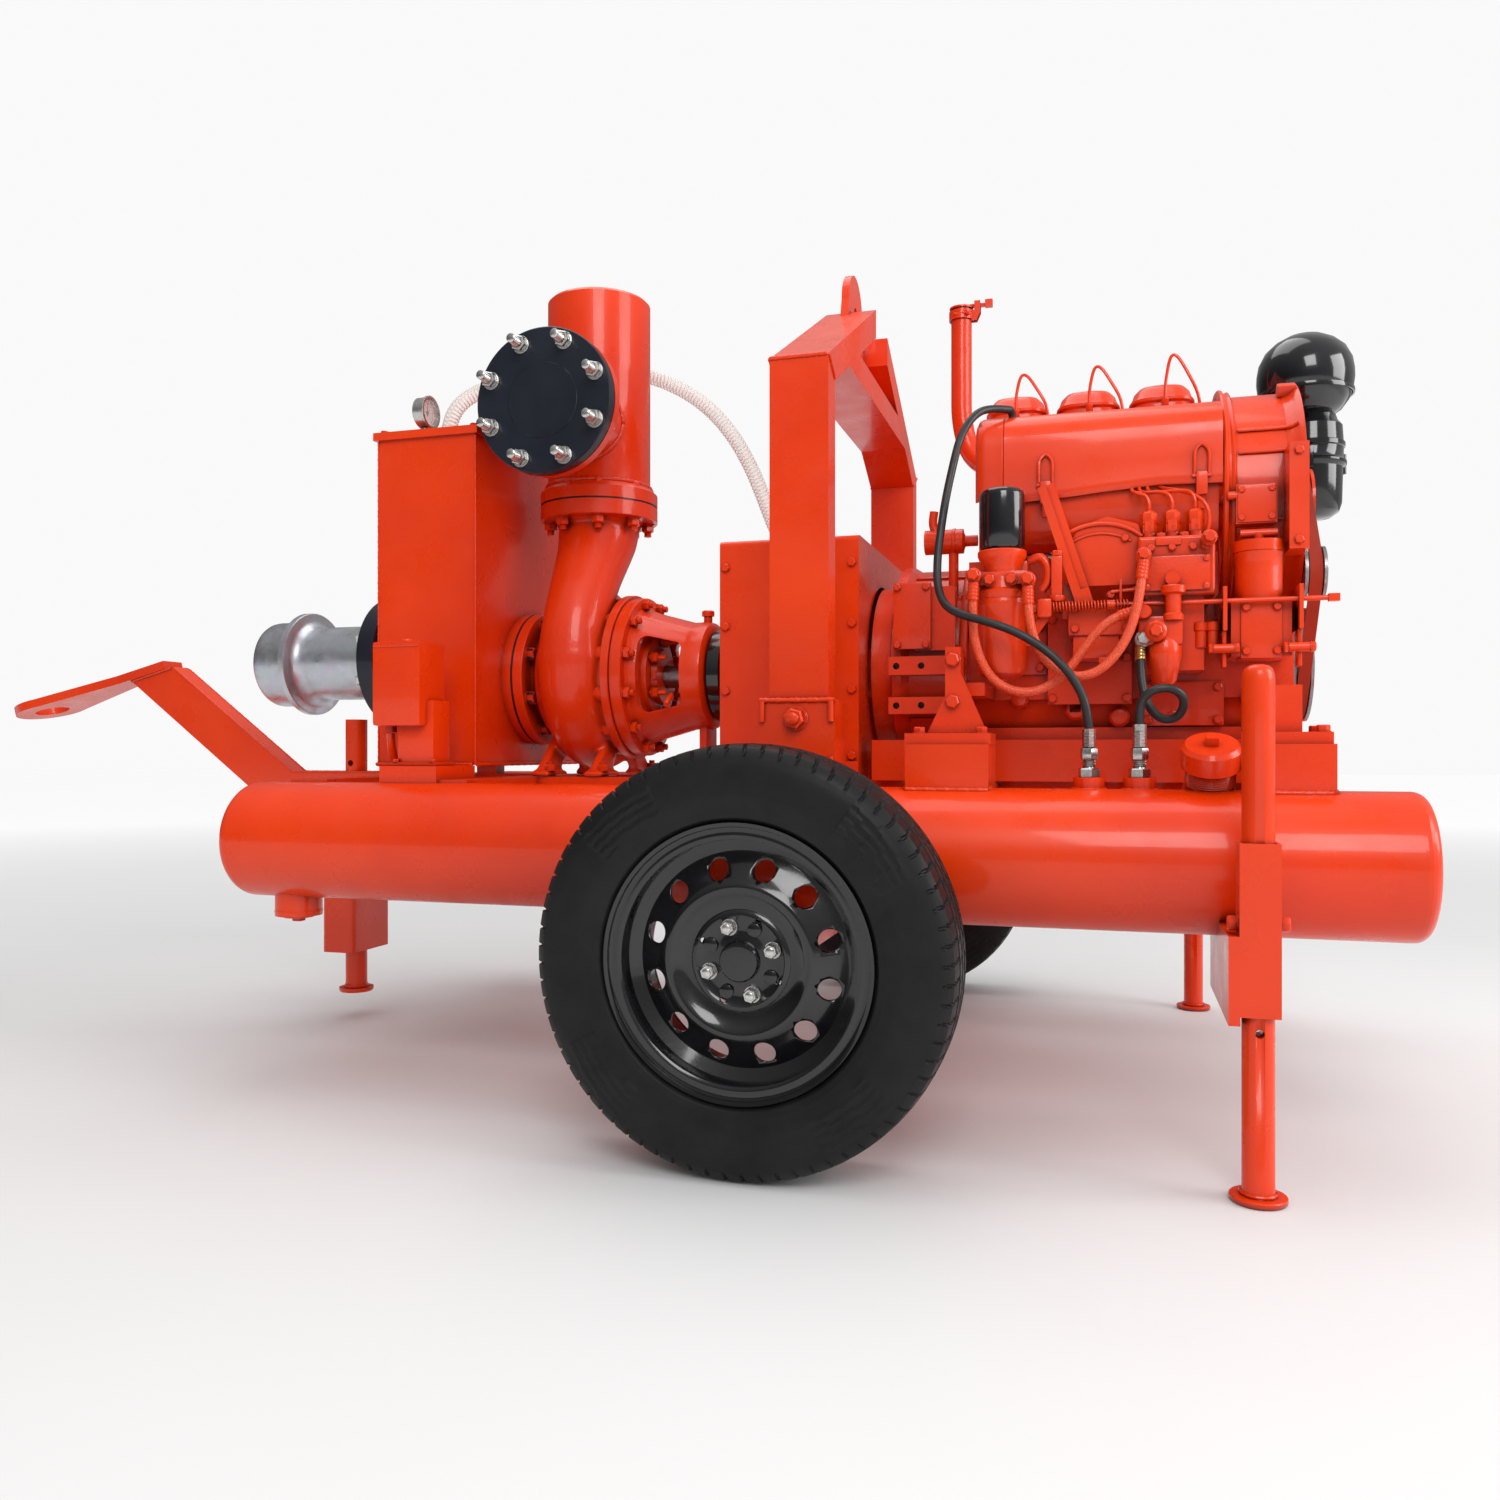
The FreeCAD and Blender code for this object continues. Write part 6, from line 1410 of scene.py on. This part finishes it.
def build_guard_details():
    """The coupling guard's bolts, the rubber element inside it and the vacuum pump's fins."""
    extra = Builder()
    for x in (-182, 58):
        for z in (600, 720, 840, 950):
            for side in (-1, 1):
                extra.bolt(at(x, side * 250, z), Y * side, 0.014, 0.006)
    for low, high in ((-256, -249), (249, 256)):
        extra.block(at(-194, low, 560), at(70, high, 590), 0.002)
    extra.lathe(mm([(0, 41), (0, 52), (3, 52), (3, 41)]), on_shaft(-197.5), X, 56, joined=True)
    for y, z in circle_points(4, 0.047, 45):
        extra.bolt(on_shaft(-197.5) + Y * y + Z * z, -X, 0.008, 0.004, washer=False)
    extra.finish("guard_bolts", "orange_enamel")
    rotor = Builder()
    for y, z in circle_points(6, 0.072, 0):
        rotor.bolt(on_shaft(-250) + Y * y + Z * z, X, 0.016)
    rotor.lathe(mm([(-276, 60), (-276, 92), (-274, 96), (-262, 97), (-250, 96), (-248, 92), (-248, 60)]),
                on_shaft(0), X, 64, joined=True)
    rotor.finish("coupling_element", "gloss_black_enamel", "shaft_line")
    pump = Builder()
    pump.lathe(mm([(-60, 71), (-60, 74), (-52, 74), (-52, 71)]), PRIMING_PUMP, X, 48, joined=True)
    bolt_ring(pump, at(-170, 130, 890), -X, 6, 0.052, 0.012)
    for x in range(-142, -61, 9):
        pump.lathe(mm([(x, 69.5), (x, 73), (x + 3, 73), (x + 3, 69.5)]), PRIMING_PUMP, X, 48, joined=True)
    pump.finish("vacuum_pump_fins", "cast_orange")


def build_belt():
    """V belt round the idler, the crankshaft pulley and the fan pulley."""
    belt, plane, turn_steps = Builder(), 828, 16
    circles = [(-190, 905, 36), (0, 765, 95), (-50, 1045, 55)]
    joints = []
    for (y0, z0, r0), (y1, z1, r1) in zip(circles, circles[1:] + circles[:1]):
        span = math.hypot(y1 - y0, z1 - z0)
        angle = math.atan2(z1 - z0, y1 - y0) - math.acos((r0 - r1) / span)
        joints.append((angle, (y0, z0, r0), (y1, z1, r1)))
    line = []
    for i, (angle, start, stop) in enumerate(joints):
        for y, z, r in (start, stop):
            line.append((y + r * math.cos(angle), z + r * math.sin(angle), angle))
        turn = (joints[(i + 1) % 3][0] - angle) % (2 * math.pi)
        y, z, r = stop
        for step in range(1, turn_steps):
            way = angle + turn * step / turn_steps
            line.append((y + r * math.cos(way), z + r * math.sin(way), way))
    corners = []
    for y, z, angle in line:
        cy, cz = math.cos(angle), math.sin(angle)
        for half, extra in ((8.4, -1.5), (9.9, 2.0), (9.9, 5.4), (-9.9, 5.4), (-9.9, 2.0), (-8.4, -1.5)):
            corners.append(at(plane + half, y + extra * cy, z + extra * cz))
    belt.add(corners, belt.ring_faces(len(line), 6, joined=True))
    belt.finish("drive_belt", "painted_belt", slot="black_rubber", replaces=["fan_belt"])


# ---------------------------------------------------------------- camera, lights, floor
CAMERA_PLACE, CAMERA_TURN, CAMERA_LENS = (0.4984, -2.3525, 0.61), 16.768, 28.39
LAMPS = (("key", (1.2, -4.2, 3.6), (0.0, 0, 0.7), 2.0, 84),
         ("top", (-0.6, 0.6, 4.4), (-0.4, 0, 0.5), 3.0, 48),
         ("rim", (3.8, -0.6, 2.2), (0.0, 0, 0.9), 2.0, 66))
BACKDROP, MIRRORED_SHARE = 0.95, 0.42  # brightness the camera sees, and how much of it shows in gloss


def build_studio():
    """Camera, floor, world light and lamps."""
    camera = bpy.data.cameras.new("camera")
    camera.lens, camera.sensor_width = CAMERA_LENS, 36.0
    holder = bpy.data.objects.new("camera", camera)
    holder.location = CAMERA_PLACE
    holder.rotation_euler = (math.radians(90), 0, math.radians(CAMERA_TURN))
    bpy.context.scene.collection.objects.link(holder)
    bpy.context.scene.camera = holder

    floor = Builder()
    floor.add([(-30, -30, 0), (30, -30, 0), (30, 30, 0), (-30, 30, 0)], [(0, 1, 2, 3)])
    data = bpy.data.meshes.new("floor")
    floor.mesh.to_mesh(data)
    floor.mesh.free()
    g = Graph("floor_white_glowing")
    away = g.add("VectorMath", Vector=g.place)
    away.operation = "LENGTH"
    # Painted light: the floor glows white, from nothing at 2.5 m out to 0.4 at 9 m, so its far part stays bright.
    g.feed(g.shader.inputs["Emission Color"], rgb(1.0, 1.0, 1.0))
    g.feed(g.shader.inputs["Emission Strength"], g.spread(away.outputs["Value"], 0.0, 0.40, 2.5, 9.0))
    data.materials.append(g.finish(g.blend(g.noise(2.0), rgb(0.68, 0.68, 0.68), rgb(0.66, 0.66, 0.66)), 0.6))
    ground = bpy.data.objects.new("floor", data)
    bpy.context.scene.collection.objects.link(ground)

    world = bpy.data.worlds.new("studio")
    bpy.context.scene.world = world
    world.use_nodes = True
    light = world.node_tree
    where = light.nodes.new("ShaderNodeTexCoord").outputs["Generated"]
    facing = light.nodes.new("ShaderNodeVectorMath")
    facing.operation = "DOT_PRODUCT"
    facing.inputs[1].default_value = (0.42, -0.05, 0.9)
    light.links.new(where, facing.inputs[0])
    level = light.nodes.new("ShaderNodeMapRange")
    for socket, number in (("From Min", -0.25), ("From Max", 0.9), ("To Min", 0.12), ("To Max", 1.25)):
        level.inputs[socket].default_value = number
    light.links.new(facing.outputs["Value"], level.inputs["Value"])
    path = light.nodes.new("ShaderNodeLightPath")
    mirrored = light.nodes.new("ShaderNodeMath")
    mirrored.operation = "MULTIPLY"
    mirrored.inputs[1].default_value = MIRRORED_SHARE
    light.links.new(level.outputs["Result"], mirrored.inputs[0])
    dimmed = light.nodes.new("ShaderNodeMix")
    light.links.new(path.outputs["Is Glossy Ray"], dimmed.inputs["Factor"])
    light.links.new(level.outputs["Result"], dimmed.inputs["A"])
    light.links.new(mirrored.outputs["Value"], dimmed.inputs["B"])
    choice = light.nodes.new("ShaderNodeMix")
    light.links.new(path.outputs["Is Camera Ray"], choice.inputs["Factor"])
    light.links.new(dimmed.outputs["Result"], choice.inputs["A"])
    choice.inputs["B"].default_value = BACKDROP
    light.nodes["Background"].inputs["Color"].default_value = rgb(1.0, 1.0, 1.0)
    light.links.new(choice.outputs["Result"], light.nodes["Background"].inputs["Strength"])
    for name, place, aim, size, power in LAMPS:
        lamp = bpy.data.lights.new(name, "AREA")
        lamp.size, lamp.energy = size, power
        holder = bpy.data.objects.new(name, lamp)
        holder.location = place
        holder.rotation_euler = (Vector(aim) - Vector(place)).to_track_quat("-Z", "Y").to_euler()
        bpy.context.scene.collection.objects.link(holder)
    bpy.context.scene.view_settings.view_transform = "Standard"


build_studio()
dress_cad_nodes()
for wheel_tag, wheel_side in (("near", -1), ("far", 1)):
    build_tyre(wheel_tag, wheel_side)
    build_rim(wheel_tag, wheel_side)

for build in (build_casing, build_bracket, build_discharge_details, build_welds, build_cowl, build_rockers,
              build_fan_end, build_engine_side, build_filter, build_injection_details, build_oil_filler,
              build_air_cleaner, build_exhaust_details, build_hoses, build_coupling, build_gauge,
              build_tank_details, build_frame_details, build_guard_details, build_belt):
    build()
